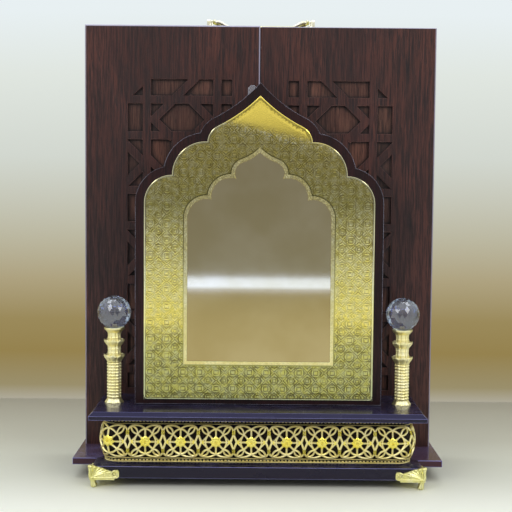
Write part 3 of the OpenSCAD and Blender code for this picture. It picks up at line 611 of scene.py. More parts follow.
class Finishes:
    """Every finish of the stand, built once."""

    def __init__(self) -> None:
        """Builds the materials."""
        self.walnut = Wood("walnut_upright").build()
        low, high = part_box("backboard_left")
        # the board fronts get a painted highlight along their arrises and joint
        self.board = Wood("walnut_board", light=srgb(100, 56, 46),
                          outline=(-low.x, low.y, high.z)).build()
        self.rail = Wood("walnut_along", grain=Grain.ALONG).build()
        # painted shade darkens the pocket grounds towards their walls
        self.ground = Wood("walnut_ground", deep=srgb(18, 7, 8), middle=srgb(90, 51, 42),
                           light=srgb(130, 85, 68), gloss=0.55, coat=0.0, shade=0.95).build()
        # painted highlight: the door's arrises take a near-white lavender tone, as if lit
        self.door = Wood("walnut_door", deep=srgb(14, 5, 7), middle=srgb(34, 14, 16),
                         light=srgb(56, 28, 27), worn_and_highlight_tone=srgb(196, 198, 222), gloss=0.4, coat=0.0,
                         specular=0.2).build()
        # painted highlight: the door board's eased arrises in near-white lavender, as if lit
        self.door_arris = Wood("walnut_door_arris", deep=srgb(214, 208, 240),
                               middle=srgb(234, 230, 250), light=srgb(246, 244, 254),
                               worn_and_highlight_tone=srgb(250, 248, 255), gloss=0.3, coat=0.4).build()
        self.beech = Wood("beech_dowel", deep=srgb(176, 136, 92), middle=srgb(200, 162, 116),
                          light=srgb(216, 184, 140), worn_and_highlight_tone=srgb(226, 200, 160), gloss=0.6,
                          coat=0.0).build()
        self.lacquer = Lacquer("black_lacquer").build()
        # painted highlight: the lacquer boards' eased arrises in pale lavender, as if lit
        self.arris = Lacquer("lacquer_arris", stain=srgb(110, 110, 170), glow=srgb(150, 150, 208),
                             worn_and_highlight_tone=srgb(170, 170, 222), rim=srgb(140, 140, 200)).build()
        # the plate's top faces turn pale lavender: partly dusting, partly painted sheen
        self.plate = Lacquer("brown_lacquer", stain=srgb(52, 24, 28), glow=srgb(74, 38, 40),
                             dust_and_sheen_tone=srgb(130, 124, 176), dust_and_sheen=0.6).build()
        self.riser = Lacquer("riser_black", stain=srgb(9, 6, 5), glow=srgb(22, 13, 8), dust_and_sheen=0.0,
                             specular=0.12, sheen=(1.0, 0.9, 0.8), coat=0.0).build()
        self.lattice = CastGold("gold_lattice", bright=srgb(246, 232, 158),
                                pale=srgb(254, 246, 206), tarnish=srgb(128, 102, 46),
                                roughness=0.38, reach=0.0008).build()
        self.bloom = CastGold("gold_bloom", bright=srgb(248, 228, 92), pale=srgb(252, 242, 150),
                              tarnish=srgb(110, 80, 12), reach=0.0012).build()
        self.cast = CastGold("gold_cast", bright=srgb(238, 232, 152), pale=srgb(253, 250, 214),
                             tarnish=srgb(96, 80, 28), roughness=0.32, relief=0.8).build()
        self.mount = CastGold("gold_mount", bright=srgb(240, 236, 204), pale=srgb(253, 251, 238),
                              tarnish=srgb(108, 96, 62), roughness=0.34).build()
        self.pillar = CastGold("gold_pillar", bright=srgb(250, 240, 176),
                               pale=srgb(254, 250, 224), tarnish=srgb(112, 92, 40),
                               roughness=0.42, reach=0.0012, relief=0.15).build()
        self.bead = CastGold("gold_bead", bright=srgb(226, 212, 140), pale=srgb(246, 238, 190),
                             tarnish=srgb(92, 66, 18), roughness=0.16, relief=0.1,
                             reach=0.001).build()
        self.etched = EtchedGold("gold_etched").build()
        self.mirror = Champagne("champagne_mirror").build()
        self.crystal = ClearGlass("cut_crystal", tint=(0.86, 0.91, 1.0), coat=0.7).build()
        self.acrylic = ClearGlass("clear_acrylic", tint=(0.98, 0.99, 1.0), ior=1.49,
                                  smear=0.12, coat=0.8).build()
        self.steel = Steel("plated_steel").build()


# ---------------------------------------------------------------- mesh tools


def finished(bm: bmesh.types.BMesh, name: str, body: str, slot: str,
             *materials: bpy.types.Material, smooth: float = 40.0) -> bpy.types.Object:
    """Turns a mesh under construction into a piece that rides on a body.

    Args:
        bm: the mesh, in metres in the shared frame.
        name: the piece's name.
        body: the body it rides on.
        slot: not used.
        materials: its materials in slot order.
        smooth: angle in degrees above which an edge stays sharp.

    Returns:
        The new object.
    """
    bmesh.ops.recalc_face_normals(bm, faces=bm.faces)
    mesh = bpy.data.meshes.new(name)
    bm.to_mesh(mesh)
    bm.free()
    for material in materials:
        mesh.materials.append(material)
    mesh.shade_smooth()
    mesh.set_sharp_from_angle(angle=math.radians(smooth))
    piece = bpy.data.objects.new(name, mesh)
    bpy.context.scene.collection.objects.link(piece)
    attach(piece, body)
    LOG.info("%s: %d faces on %s", name, len(mesh.polygons), body)
    return piece


def dress(material: bpy.types.Material, *nodes: str) -> None:
    """Gives carried-over nodes their material."""
    for name in nodes:
        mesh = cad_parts[name].data
        mesh.materials.clear()
        mesh.materials.append(material)
        LOG.info("%s: dressed in %s", name, material.name)


def welded(node: str) -> bmesh.types.BMesh:
    """A node's mesh with its split corners joined and its flat faces cleaned."""
    bm = bmesh.new()
    bm.from_mesh(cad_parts[node].data)
    bmesh.ops.remove_doubles(bm, verts=bm.verts, dist=WELD * MM)
    bmesh.ops.dissolve_limit(bm, angle_limit=math.radians(FLAT_ANGLE), verts=bm.verts,
                             edges=bm.edges)
    return bm


@dataclass
class EasedBoard:
    """A board of the frame with its arrises eased, so that they catch the light."""

    node: str
    slot: str
    materials: tuple[bpy.types.Material, ...]
    body: str = STAND
    ease: float = 0.4
    segments: int = 2
    ground_y: float | None = None
    ground_reach: float = 0.2
    # material slot for the eased arrises, -1 for their board's own; on the door and the lacquer
    # boards it holds a painted highlight
    arris: int = -1
    sharp: float = 32.0

    def build(self) -> bpy.types.Object:
        """Builds the board and lets it stand for its node."""
        bm = welded(self.node)
        if self.ground_y is not None:
            for face in bm.faces:
                off = abs(face.calc_center_median().y - self.ground_y)
                face.material_index = int(off < self.ground_reach * MM
                                          and face.normal.y < FACES_FRONT)
        board = finished(bm, self.node + "_eased", self.body, self.slot, *self.materials, smooth=28)
        bevel = board.modifiers.new("ease", "BEVEL")
        bevel.width = self.ease * MM
        bevel.segments = self.segments
        bevel.limit_method = "ANGLE"
        bevel.angle_limit = math.radians(self.sharp)
        bevel.use_clamp_overlap = True
        bevel.material = self.arris
        bevel.harden_normals = True
        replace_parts(board, self.node)
        return board


def closed_skin(bm: bmesh.types.BMesh, rings: list[list[Vector | tuple]],
                material: int = 0) -> None:
    """Joins rings of points into a closed skin with flat ends.

    Args:
        bm: the mesh to add to.
        rings: the rings in order, all with as many points, in metres.
        material: material index of the faces.
    """
    rings = [[bm.verts.new(point) for point in ring] for ring in rings]
    for low, high in zip(rings, rings[1:]):
        for j, corner in enumerate(low):
            k = (j + 1) % len(low)
            bm.faces.new((corner, low[k], high[k], high[j])).material_index = material
    for end in (rings[0][::-1], rings[-1]):
        bm.faces.new(end).material_index = material


def tube(bm: bmesh.types.BMesh, path: list[Vector], radii: list[float], sides: int) -> None:
    """Adds a round tube with closed ends along a path.

    Args:
        bm: the mesh to add to.
        path: the centre line, in metres.
        radii: the radius at each point, in millimetres.
        sides: number of sides.
    """
    rings, last = [], None
    for k, (point, radius) in enumerate(zip(path, radii)):
        tangent = (path[min(k + 1, len(path) - 1)] - path[max(k - 1, 0)]).normalized()
        level = Vector((0.0, 0.0, 1.0)) if abs(tangent.z) < 0.95 else Vector((0.0, 1.0, 0.0))
        side = tangent.cross(level).normalized()
        if last is not None and side.dot(last) < 0:
            side.negate()
        last, other = side, tangent.cross(side)
        rings.append([point + (side * math.cos(a) + other * math.sin(a)) * (radius * MM)
                      for a in (2 * math.pi * j / sides for j in range(sides))])
    closed_skin(bm, rings)


def pebble(bm: bmesh.types.BMesh, centre: Vector, size: tuple[float, float, float],
           turn: Matrix | None = None, rows: int = 2) -> None:
    """Adds a rounded bead.

    Args:
        bm: the mesh to add to.
        centre: its middle, in metres.
        size: its three half sizes, in millimetres.
        turn: a rotation for its own axes.
        rows: how finely it is divided.
    """
    place = Matrix.Translation(centre) @ (turn.to_4x4() if turn else Matrix.Identity(4))
    shape = Matrix.Diagonal((*(Vector(size) * MM), 1.0))
    bmesh.ops.create_icosphere(bm, subdivisions=rows, radius=1.0, matrix=place @ shape)


def arc(start: tuple[float, float], end: tuple[float, float], sag: float,
        steps: int = 7) -> list[tuple[float, float]]:
    """Points of an arc between two flat points, standing off the chord by sag to its left."""
    (x0, z0), (x1, z1) = start, end
    length = math.hypot(x1 - x0, z1 - z0)
    nx, nz = -(z1 - z0) / length, (x1 - x0) / length
    shares = [k / (steps - 1) for k in range(steps)]
    return [(x0 + (x1 - x0) * t + nx * sag * 4 * t * (1 - t),
             z0 + (z1 - z0) * t + nz * sag * 4 * t * (1 - t)) for t in shares]


@dataclass(frozen=True)
class Flutes:
    """How a turned casting is worked round its axis."""

    sides: int = 96
    lobes: int = 8
    lobe_depth: float = 0.0
    rim_radius: float = 7.0
    rim_run: float = 2.0
    rim_lift: float = 0.0
    seam_depth: float = 0.0
    seam_width: float = 0.09
    seams: int = 8
    limit: float = 99.0

    def worked(self, radius: float, height: float, angle: float) -> tuple[float, float]:
        """Radius and height of a point after the lobes, rims and seams are worked in."""
        wave = 0.5 + 0.5 * math.cos(self.lobes * angle)
        rim = min(1.0, max(0.0, (radius - self.rim_radius) / self.rim_run))
        radius -= self.lobe_depth * (1 - wave) * (0.25 + 0.75 * rim)
        height += self.rim_lift * rim * wave
        if self.seam_depth:
            near = abs((angle * self.seams / (2 * math.pi)) % 1.0 - 0.5)
            radius -= self.seam_depth * math.exp(-((near / self.seam_width) ** 2))
        return min(radius, self.limit), height


def turned_piece(profile: list[tuple[float, float]], middle: tuple[float, float], foot: float,
                 shape: Flutes, step: float = 0.35) -> bmesh.types.BMesh:
    """Lathe mesh whose radius and height vary round the axis.

    Args:
        profile: radius and height pairs from the foot up, in millimetres.
        middle: the axis in plan, in millimetres.
        foot: height of the profile's zero, in millimetres.
        shape: how the turned shape is worked.
        step: longest step along the profile.

    Returns:
        The mesh, closed at both ends.
    """
    rows: list[tuple[float, float]] = []
    for (r0, z0), (r1, z1) in zip(profile, profile[1:]):
        count = max(1, math.ceil(math.hypot(r1 - r0, z1 - z0) / step))
        rows += [(r0 + (r1 - r0) * k / count, z0 + (z1 - z0) * k / count) for k in range(count)]
    rows.append(profile[-1])
    rings = []
    for radius, height in rows:
        ring = []
        for angle in (2 * math.pi * j / shape.sides for j in range(shape.sides)):
            r, z = shape.worked(radius, height, angle)
            ring.append(((middle[0] + r * math.sin(angle)) * MM,
                         (middle[1] - r * math.cos(angle)) * MM, (foot + z) * MM))
        rings.append(ring)
    bm = bmesh.new()
    closed_skin(bm, rings)
    return bm


# ---------------------------------------------------------------- boards and base


@dataclass
class CarvedCase:
    """The two carved backboards and the shallow case behind them."""

    finishes: Finishes
    carve_depth: float = 2.6
    ease: float = 0.45

    def build(self) -> None:
        """Builds the boards and dresses the hidden parts."""
        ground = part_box("backboard_left")[0].y + self.carve_depth * MM
        looks = (self.finishes.board, self.finishes.ground)
        for side in Side:
            EasedBoard("backboard_" + side.word, "walnut", looks, ease=self.ease,
                       ground_y=ground).build()
            EasedBoard("stile_" + side.word, "walnut", (self.finishes.walnut,)).build()
        for rail in ("top_rail", "bottom_rail"):
            EasedBoard(rail, "walnut", (self.finishes.rail,)).build()
        EasedBoard("back_panel", "walnut", (self.finishes.walnut,)).build()
        dress(self.finishes.beech, "base_dowels")
        dress(self.finishes.steel, "back_screws")


@dataclass
class LacqueredBase:
    """Base plate, plinth, riser and ledge in gloss lacquer."""

    finishes: Finishes
    ease: float = 0.7

    def build(self) -> None:
        """Builds the boards with eased arrises."""
        boards = {"base_plate": self.finishes.plate, "rear_batten": self.finishes.plate,
                  "plinth_board": self.finishes.lacquer, "riser_block": self.finishes.riser,
                  "ledge_board": self.finishes.lacquer}
        for board, finish in boards.items():
            EasedBoard(board, "lacquer", (finish, self.finishes.arris), ease=self.ease,
                       segments=3, arris=1).build()
        dress(self.finishes.steel, "base_screws")
        dress(self.finishes.lacquer, "rear_feet")


@dataclass
class Niche:
    """The gabled book niche behind the door, with its hinges and catch."""

    finishes: Finishes

    def build(self) -> None:
        """Builds the niche boards and dresses the ironmongery."""
        for board in ("niche_side", "niche_roof"):
            for side in Side:
                EasedBoard(f"{board}_{side.word}", "lacquer", (self.finishes.door,)).build()
        EasedBoard("niche_back", "walnut", (self.finishes.walnut,)).build()
        dress(self.finishes.cast, "hinge_wall_leaves", "hinge_wall_screws", "hinge_pins",
              "hinge_door_leaves", "hinge_door_screws")
        dress(self.finishes.steel, "catch_magnet", "catch_keeper")


# ---------------------------------------------------------------- pierced band


@dataclass
class PiercedBand:
    """Cast lattice band that wraps the riser's cushion moulding."""

    finishes: Finishes
    half: float = 136.2
    corner: float = 13.0
    pitch: float = 31.2
    phase: float = -5.6
    strand: float = 1.8
    depth: float = 1.15
    cushion_half: float = 16.5
    field_half: float = 14.6
    bead_pitch: float = 3.15
    bead_up: float = 17.1
    bulge: float = 4.4
    end_gap: float = 0.3
    section: tuple[tuple[float, float], ...] = (
        (-0.5, -0.1), (-0.46, 0.62), (-0.22, 1.0), (0.22, 1.0), (0.46, 0.62), (0.5, -0.1))
    front: float = field(init=False)
    back: float = field(init=False)
    middle: float = field(init=False)
    radius: float = field(init=False)

    def __post_init__(self) -> None:
        """Takes the band's place from the frame."""
        low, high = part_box("filigree_band")
        self.middle = (low.z + high.z) / 2 / MM
        self.back = high.y / MM
        self.radius = (self.cushion_half ** 2 + self.bulge ** 2) / (2 * self.bulge)
        self.front = (low.y - low.x) / MM - self.half

    @property
    def reach(self) -> float:
        """Length of the band from the middle of the front to one end."""
        return (self.half - self.corner + self.corner * math.pi / 2
                + self.back - self.front - self.corner)

    def at(self, along: float, up: float, out: float) -> tuple[Vector, Vector]:
        """A point on the cushion.

        Args:
            along: distance from the middle of the front, round the corners.
            up: height above the cushion's middle.
            out: height above the cushion's surface.

        Returns:
            The point in metres and the outward direction there.
        """
        sign, far = (1 if along >= 0 else -1), abs(along)
        straight, quarter = self.half - self.corner, self.corner * math.pi / 2
        turn = min(max((far - straight) / self.corner, 0.0), math.pi / 2)
        x = min(far, straight) + self.corner * math.sin(turn)
        y = self.front + self.corner * (1 - math.cos(turn)) + max(0.0, far - straight - quarter)
        tilt = math.asin(max(-1.0, min(1.0, up / self.radius)))
        flat = Vector((sign * math.sin(turn), -math.cos(turn), 0.0))
        normal = flat * math.cos(tilt) + Vector((0.0, 0.0, math.sin(tilt)))
        swell = max(0.0, self.radius * math.cos(tilt) - self.radius + self.bulge)
        point = Vector((sign * x, y, self.middle + up)) + flat * swell + normal * out
        return point * MM, normal

    def ribbon(self, bm: bmesh.types.BMesh, flat: list[tuple[float, float]], width: float,
               material: int = 0, lift: float = 0.0) -> None:
        """Adds a strand with a rounded back along flat points on the band.

        Args:
            bm: the mesh to add to.
            flat: points as distance along the band and height on it.
            width: the strand's width.
            material: material index of the faces.
            lift: how far it stands above its neighbours.
        """
        limit = self.reach - self.end_gap
        flat = [(max(-limit, min(limit, a)), z) for a, z in flat]
        if len({a for a, _ in flat}) == 1 and abs(flat[0][0]) == limit:
            return
        rings = []
        for k, (along, up) in enumerate(flat):
            base, normal = self.at(along, up, 0.0)
            ahead = self.at(*flat[min(k + 1, len(flat) - 1)], 0.0)[0]
            behind = self.at(*flat[max(k - 1, 0)], 0.0)[0]
            side = normal.cross(ahead - behind).normalized()
            rings.append([base + (side * (s * width) + normal * (h * (self.depth + lift))) * MM
                          for s, h in self.section])
        closed_skin(bm, rings, material)

    def unit(self, bm: bmesh.types.BMesh, start: float) -> None:
        """Adds one star unit whose middle stands at a distance along the band."""
        half = self.pitch / 2
        star, ring, knot, leaf = (6.5, 6.6), (0.0, 11.0), (12.9, 0.0), (12.6, 13.2)
        blob = (half, 8.6)
        strands = (
            (arc((1.9, 1.9), star, 0.0, 4), 1.0), (arc(ring, star, 1.0), 1.0),
            (arc(star, (9.4, 0.0), 0.5), 0.9), (arc(star, knot, -0.3), 0.95),
            (arc(star, leaf, 1.9), 1.0), (arc(star, leaf, -1.9), 1.0),
            (arc(ring, leaf, 1.7, 9), 1.0), (arc(leaf, blob, 0.6, 5), 1.0),
            (arc(knot, (half - 0.2, 6.4), 0.0, 4), 1.1),
        )
        for sx in (-1, 1):
            for sz in (-1, 1):
                for flat, share in strands:
                    self.ribbon(bm, [(start + sx * x, sz * z) for x, z in flat],
                                self.strand * share)
                self.ribbon(bm, [(start + sx * half, sz * z) for z in (6.0, 8.0, 10.0)], 3.0, 1,
                            0.1)
            self.ribbon(bm, [(start + sx * x, 0.0) for x in (2.4, 5.8, 9.4, 13.0)], self.strand)
            self.ribbon(bm, [(start, sx * z) for z in (2.4, 5.4, 8.4, 11.2)], self.strand)
            self.ribbon(bm, [(start + sx * 11.6, -1.3), (start + sx * 11.6, 1.3)], 2.6, 1, 0.05)
        self.bloom(bm, start)

    def bloom(self, bm: bmesh.types.BMesh, start: float) -> None:
        """Adds the eight-petalled flower in the middle of a unit."""
        if abs(start) > self.reach - 3.5:
            return
        sides, petals = 32, 8
        rings = []
        for share, rise in ((0.7, 0.4), (1.0, 1.3), (2.1, 1.7), (3.6, 1.5), (4.7, 1.0),
                            (4.95, -0.1)):
            ring = []
            for angle in (2 * math.pi * j / sides for j in range(sides)):
                lobe = 1 + 0.16 * math.cos(petals * angle) * min(1.0, share / 2)
                ring.append(self.at(start + share * lobe * math.cos(angle),
                                    share * lobe * math.sin(angle), rise)[0])
            rings.append(ring)
        closed_skin(bm, rings, material=1)

    def build(self) -> None:
        """Builds the lattice with its border wires, and the two rows of beads."""
        bm = bmesh.new()
        count = math.ceil(self.reach / self.pitch) + 1
        for k in range(-count, count + 1):
            start = self.phase + k * self.pitch
            if abs(start) < self.reach - 1.0:
                self.unit(bm, start)
        steps = 150
        line = [-self.reach + 0.4 + (2 * self.reach - 0.8) * k / steps for k in range(steps + 1)]
        for up in (-self.field_half - 0.5, self.field_half + 0.5):
            self.ribbon(bm, [(a, up) for a in line], 0.8)
        for end in (line[0] + 0.5, line[-1] - 0.5):
            self.ribbon(bm, [(end, z) for z in np.linspace(-15.4, 15.4, 9)], 1.2)
        lattice = finished(bm, "lattice_band", STAND, "gold", self.finishes.lattice,
                           self.finishes.bloom)
        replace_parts(lattice, "filigree_band")
        beads = bmesh.new()
        count = int(2 * self.reach / self.bead_pitch) - 1
        for row in (-1, 1):
            for k in range(count):
                along = (k - (count - 1) / 2) * self.bead_pitch
                point, normal = self.at(along, row * self.bead_up, 0.35)
                pebble(beads, point, (1.25, 0.85, 0.85), normal.to_track_quat("Y", "Z").to_matrix(),
                       rows=1)
            self.ribbon(beads, [(a, row * (self.bead_up + 1.1)) for a in line], 0.5)
        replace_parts(finished(beads, "bead_rows", STAND, "gold", self.finishes.lattice),
                    "filigree_band")


# ---------------------------------------------------------------- feet and pillars


@dataclass
class CornerFoot:
    """Scrolled leaf relief on one cast corner foot."""

    finishes: Finishes
    side: Side
    corner_x: float = 145.5
    plane_out: float = 2.0

    def spot(self, along: float, up: float, out: float, face: int) -> Vector:
        """A point over a wing: face 0 looks forwards and face 1 sideways."""
        sign = self.side.value
        _, front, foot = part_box("plinth_board")[0] / MM
        if face == 0:
            place = (sign * (self.corner_x - along), front - self.plane_out - out, foot + up)
        else:
            place = (sign * (self.corner_x + self.plane_out + out), front + along, foot + up)
        return Vector(place) * MM

    def build(self) -> None:
        """Adds volutes, leaf lobes and veins to both wings."""
        bm = bmesh.new()
        lobes = ((-0.6, 10.4, 1.9), (3.2, 9.9, 1.7), (6.6, 9.2, 1.6), (9.8, 8.2, 1.5),
                 (12.8, 6.8, 1.4), (15.6, 5.4, 1.2))
        for face in (0, 1):
            for along, up, size in lobes:
                pebble(bm, self.spot(along, up, 0.1, face), (size * 0.8,) * 3)
                vein = [self.spot(along * t + 1.5 * (1 - t), up * t + 1.6 * (1 - t)
                                  + 0.8 * math.sin(math.pi * t), 0.25, face)
                        for t in (0.0, 0.25, 0.5, 0.75, 0.95)]
                tube(bm, vein, [0.45, 0.7, 0.8, 0.75, 0.5], 6)
            for middle, size, turns in (((20.4, 4.0), 3.0, 1.6), ((11.5, 4.0), 1.9, 1.2)):
                curl, shares = [], [k / 25 for k in range(26)]
                for t in shares:
                    angle = 2 * math.pi * turns * t + 1.2
                    r = size * (1 - 0.8 * t)
                    curl.append(self.spot(middle[0] + r * math.cos(angle),
                                          middle[1] + r * math.sin(angle), 0.3, face))
                tube(bm, curl, [0.85 - 0.35 * t for t in shares], 7)
                pebble(bm, self.spot(*middle, 0.4, face), (0.8,) * 3)
            rail = [self.spot(-1.0 + 23.0 * k / 8, 0.9, 0.2, face) for k in range(9)]
            tube(bm, rail, [0.7] * 9, 6)
        knee = [self.spot(-1.4, up, 1.4, 0) for up in (0.4, 3.0, 6.0, 9.0, 11.0)]
        knee = [Vector((p.x, p.y + 1.9 * MM, p.z)) for p in knee]
        tube(bm, knee, [0.9, 1.5, 1.2, 1.5, 0.8], 10)
        claw = [self.spot(1.7 - lean, up, -1.7, 0) for up, lean in (
            (-7.7, 0.0), (-7.1, 0.0), (-6.0, 0.2), (-4.2, 0.6), (-2.4, 0.9), (-0.4, 1.0))]
        tube(bm, claw, [1.7, 2.6, 2.75, 2.3, 2.2, 2.7], 14)
        finished(bm, f"foot_scrolls_{self.side.word}", STAND, "gold", self.finishes.cast)
        dress(self.finishes.cast, f"front_foot_{self.side.word}")


@dataclass
class Pillar:
    """One gilt pillar with its galleries and faceted crystal ball."""

    finishes: Finishes
    side: Side
    shaft_h: float = 33.0
    ribs: int = 12
    rib_root: float = 5.5
    ball_rows: int = 12
    ball_sides: int = 20
    ball_table: float = 7.0

    def profile_shaft(self) -> list[tuple[float, float]]:
        """The ribbed shaft's outline, in millimetres."""
        rib = self.shaft_h / self.ribs
        points = [(self.rib_root - 0.2, 0.0)]
        for k in range(self.ribs):
            points += [(self.rib_root + rib / 2 * math.sin(math.pi * t) ** 0.8, rib * (k + t))
                       for t in (0.08, 0.25, 0.5, 0.75, 0.92)]
        return points

    def build(self) -> None:
        """Builds the turned pieces and the ball."""
        low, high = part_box(f"pillar_shaft_{self.side.word}")
        base, top = (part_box(f"{part}_{self.side.word}") for part in ("pillar_base", "pillar_cup"))
        middle = ((low.x + high.x) / 2 / MM, (low.y + high.y) / 2 / MM)
        gallery = [(radius, self.shaft_h + up) for radius, up in (
            (6.4, 0.0), (6.8, 0.5), (7.0, 1.4), (7.8, 2.4), (9.2, 4.0), (9.6, 4.8), (9.6, 6.0),
            (9.0, 6.2), (8.2, 5.7), (6.2, 5.6), (6.1, 7.4), (6.2, 8.6), (5.9, 9.2), (5.9, 11.6),
            (6.2, 12.2), (5.9, 12.8), (6.2, 14.6), (7.2, 15.8), (9.0, 17.8), (9.4, 18.6),
            (9.4, 19.8), (8.8, 20.0), (8.0, 19.5), (6.2, 19.4), (6.0, 21.2), (6.2, 22.4),
            (5.8, 23.0), (5.9, 25.8), (6.2, 27.0))]
        parts = (
            ("pillar_base", base[0].z / MM, Flutes(lobe_depth=1.1, rim_radius=6.9, limit=8.8),
             [(8.8, 0.0), (8.8, 0.8), (8.0, 1.7), (7.2, 2.8), (7.1, 3.4), (6.6, 3.8), (6.6, 4.5)]),
            ("pillar_shaft", low.z / MM, Flutes(lobe_depth=0.3, rim_radius=7.4, rim_lift=0.9,
                                                seam_depth=0.7, limit=9.6),
             self.profile_shaft() + gallery),
            ("pillar_cup", top[0].z / MM, Flutes(lobe_depth=0.5, rim_radius=7.2, limit=9.2),
             [(6.0, 0.0), (6.4, 0.2), (7.2, 1.0), (8.8, 2.7), (9.2, 3.2), (9.2, 4.5), (8.6, 4.5),
              (6.5, 3.2), (4.0, 2.4)]),
        )
        for part, foot, shape, profile in parts:
            node = f"{part}_{self.side.word}"
            piece = finished(turned_piece(profile, middle, foot, shape), node + "_worked", STAND,
                             "gold", self.finishes.pillar, smooth=50)
            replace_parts(piece, node)
        self.ball()
        if self.side is Side.RIGHT:
            dress(self.finishes.steel, "pillar_studs")

    def ball(self) -> None:
        """Builds the cut crystal ball: rows of triangular facets under a flat table."""
        node = f"crystal_ball_{self.side.word}"
        low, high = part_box(node)
        centre, radius = (low + high) / 2, (high.z - low.z) / 2
        bm = bmesh.new()
        rings = []
        for row in range(self.ball_rows):
            polar = math.radians(self.ball_table + (180 - 2 * self.ball_table) * row
                                 / (self.ball_rows - 1))
            ring = []
            for j in range(self.ball_sides):
                angle = 2 * math.pi * (j + 0.5 * (row % 2)) / self.ball_sides
                ring.append(bm.verts.new(centre + Vector((
                    math.sin(polar) * math.sin(angle), -math.sin(polar) * math.cos(angle),
                    math.cos(polar))) * radius))
            rings.append(ring)
        for row, (high_ring, low_ring) in enumerate(zip(rings, rings[1:])):
            for j in range(self.ball_sides):
                k = (j + 1) % self.ball_sides
                if row % 2:
                    bm.faces.new((high_ring[j], low_ring[k], high_ring[k]))
                    bm.faces.new((high_ring[j], low_ring[j], low_ring[k]))
                else:
                    bm.faces.new((high_ring[j], low_ring[j], high_ring[k]))
                    bm.faces.new((high_ring[k], low_ring[j], low_ring[k]))
        bm.faces.new(rings[0])
        bm.faces.new(rings[-1][::-1])
        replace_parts(finished(bm, node + "_cut", STAND, "crystal", self.finishes.crystal, smooth=2),
                    node)


# ---------------------------------------------------------------- mihrab door


def front_loops(node: str) -> list[np.ndarray]:
    """Closed outlines of a flat node's front face.

    Args:
        node: the node's name.

    Returns:
        Each loop as rows of x and z in millimetres, the longest first.
    """
    bm = welded(node)
    front = min(v.co.y for v in bm.verts)
    chosen = {f for f in bm.faces if f.normal.y < FACES_FRONT
              and f.calc_center_median().y < front + 0.01 * MM}
    links: dict[int, list[int]] = {}
    for edge in sorted({e for f in chosen for e in f.edges}, key=lambda e: e.index):
        if sum(f in chosen for f in edge.link_faces) == 1:
            a, b = (v.index for v in edge.verts)
            links.setdefault(a, []).append(b)
            links.setdefault(b, []).append(a)
    bm.verts.ensure_lookup_table()
    loops, left = [], set(links)
    while left:
        start = min(left)
        loop, here, before = [start], start, None
        left.discard(start)
        while True:
            ahead = [n for n in links[here] if n != before and (n in left or n == start)]
            if not ahead or (ahead[0] == start and len(ahead) == 1):
                break
            before, here = here, next(n for n in ahead if n != start)
            left.discard(here)
            loop.append(here)
        loops.append(np.array([(bm.verts[i].co.x / MM, bm.verts[i].co.z / MM) for i in loop]))
    bm.free()
    return sorted(loops, key=len, reverse=True)


def gap_to(points: np.ndarray, loop: np.ndarray) -> np.ndarray:
    """Distance of each flat point from a closed outline."""
    best = np.full(len(points), np.inf)
    for start, step in zip(loop, np.roll(loop, -1, axis=0) - loop):
        share = np.clip(((points - start) @ step) / max(step @ step, 1e-12), 0, 1)
        best = np.minimum(best, np.linalg.norm(points - start - share[:, None] * step, axis=1))
    return best


def inside(points: np.ndarray, loop: np.ndarray) -> np.ndarray:
    """Whether each flat point lies inside a closed outline."""
    result = np.zeros(len(points), bool)
    for (x0, z0), (x1, z1) in zip(loop, np.roll(loop, -1, axis=0)):
        if z0 != z1:
            crossing = (z0 > points[:, 1]) != (z1 > points[:, 1])
            at = x0 + (points[:, 1] - z0) * (x1 - x0) / (z1 - z0)
            result ^= crossing & (points[:, 0] < at)
    return result


def finer(loop: np.ndarray, step: float) -> np.ndarray:
    """A closed outline with no edge longer than a step."""
    rows = []
    for start, end in zip(loop, np.roll(loop, -1, axis=0)):
        count = max(1, math.ceil(np.linalg.norm(end - start) / step))
        rows += [start + (end - start) * k / count for k in range(count)]
    return np.array(rows)


def inset(loop: np.ndarray, distance: float) -> np.ndarray:
    """A closed outline moved inwards, without the parts that would fold over."""
    before, after = np.roll(loop, 1, axis=0), np.roll(loop, -1, axis=0)
    run = after - before
    normal = np.stack([-run[:, 1], run[:, 0]], 1) / np.linalg.norm(run, axis=1)[:, None]
    probe, kept_share = 0.05, 0.985
    if not inside(loop[:1] + normal[:1] * probe, loop)[0]:
        normal = -normal
    moved = loop + normal * distance
    return moved[gap_to(moved, loop) > distance * kept_share]


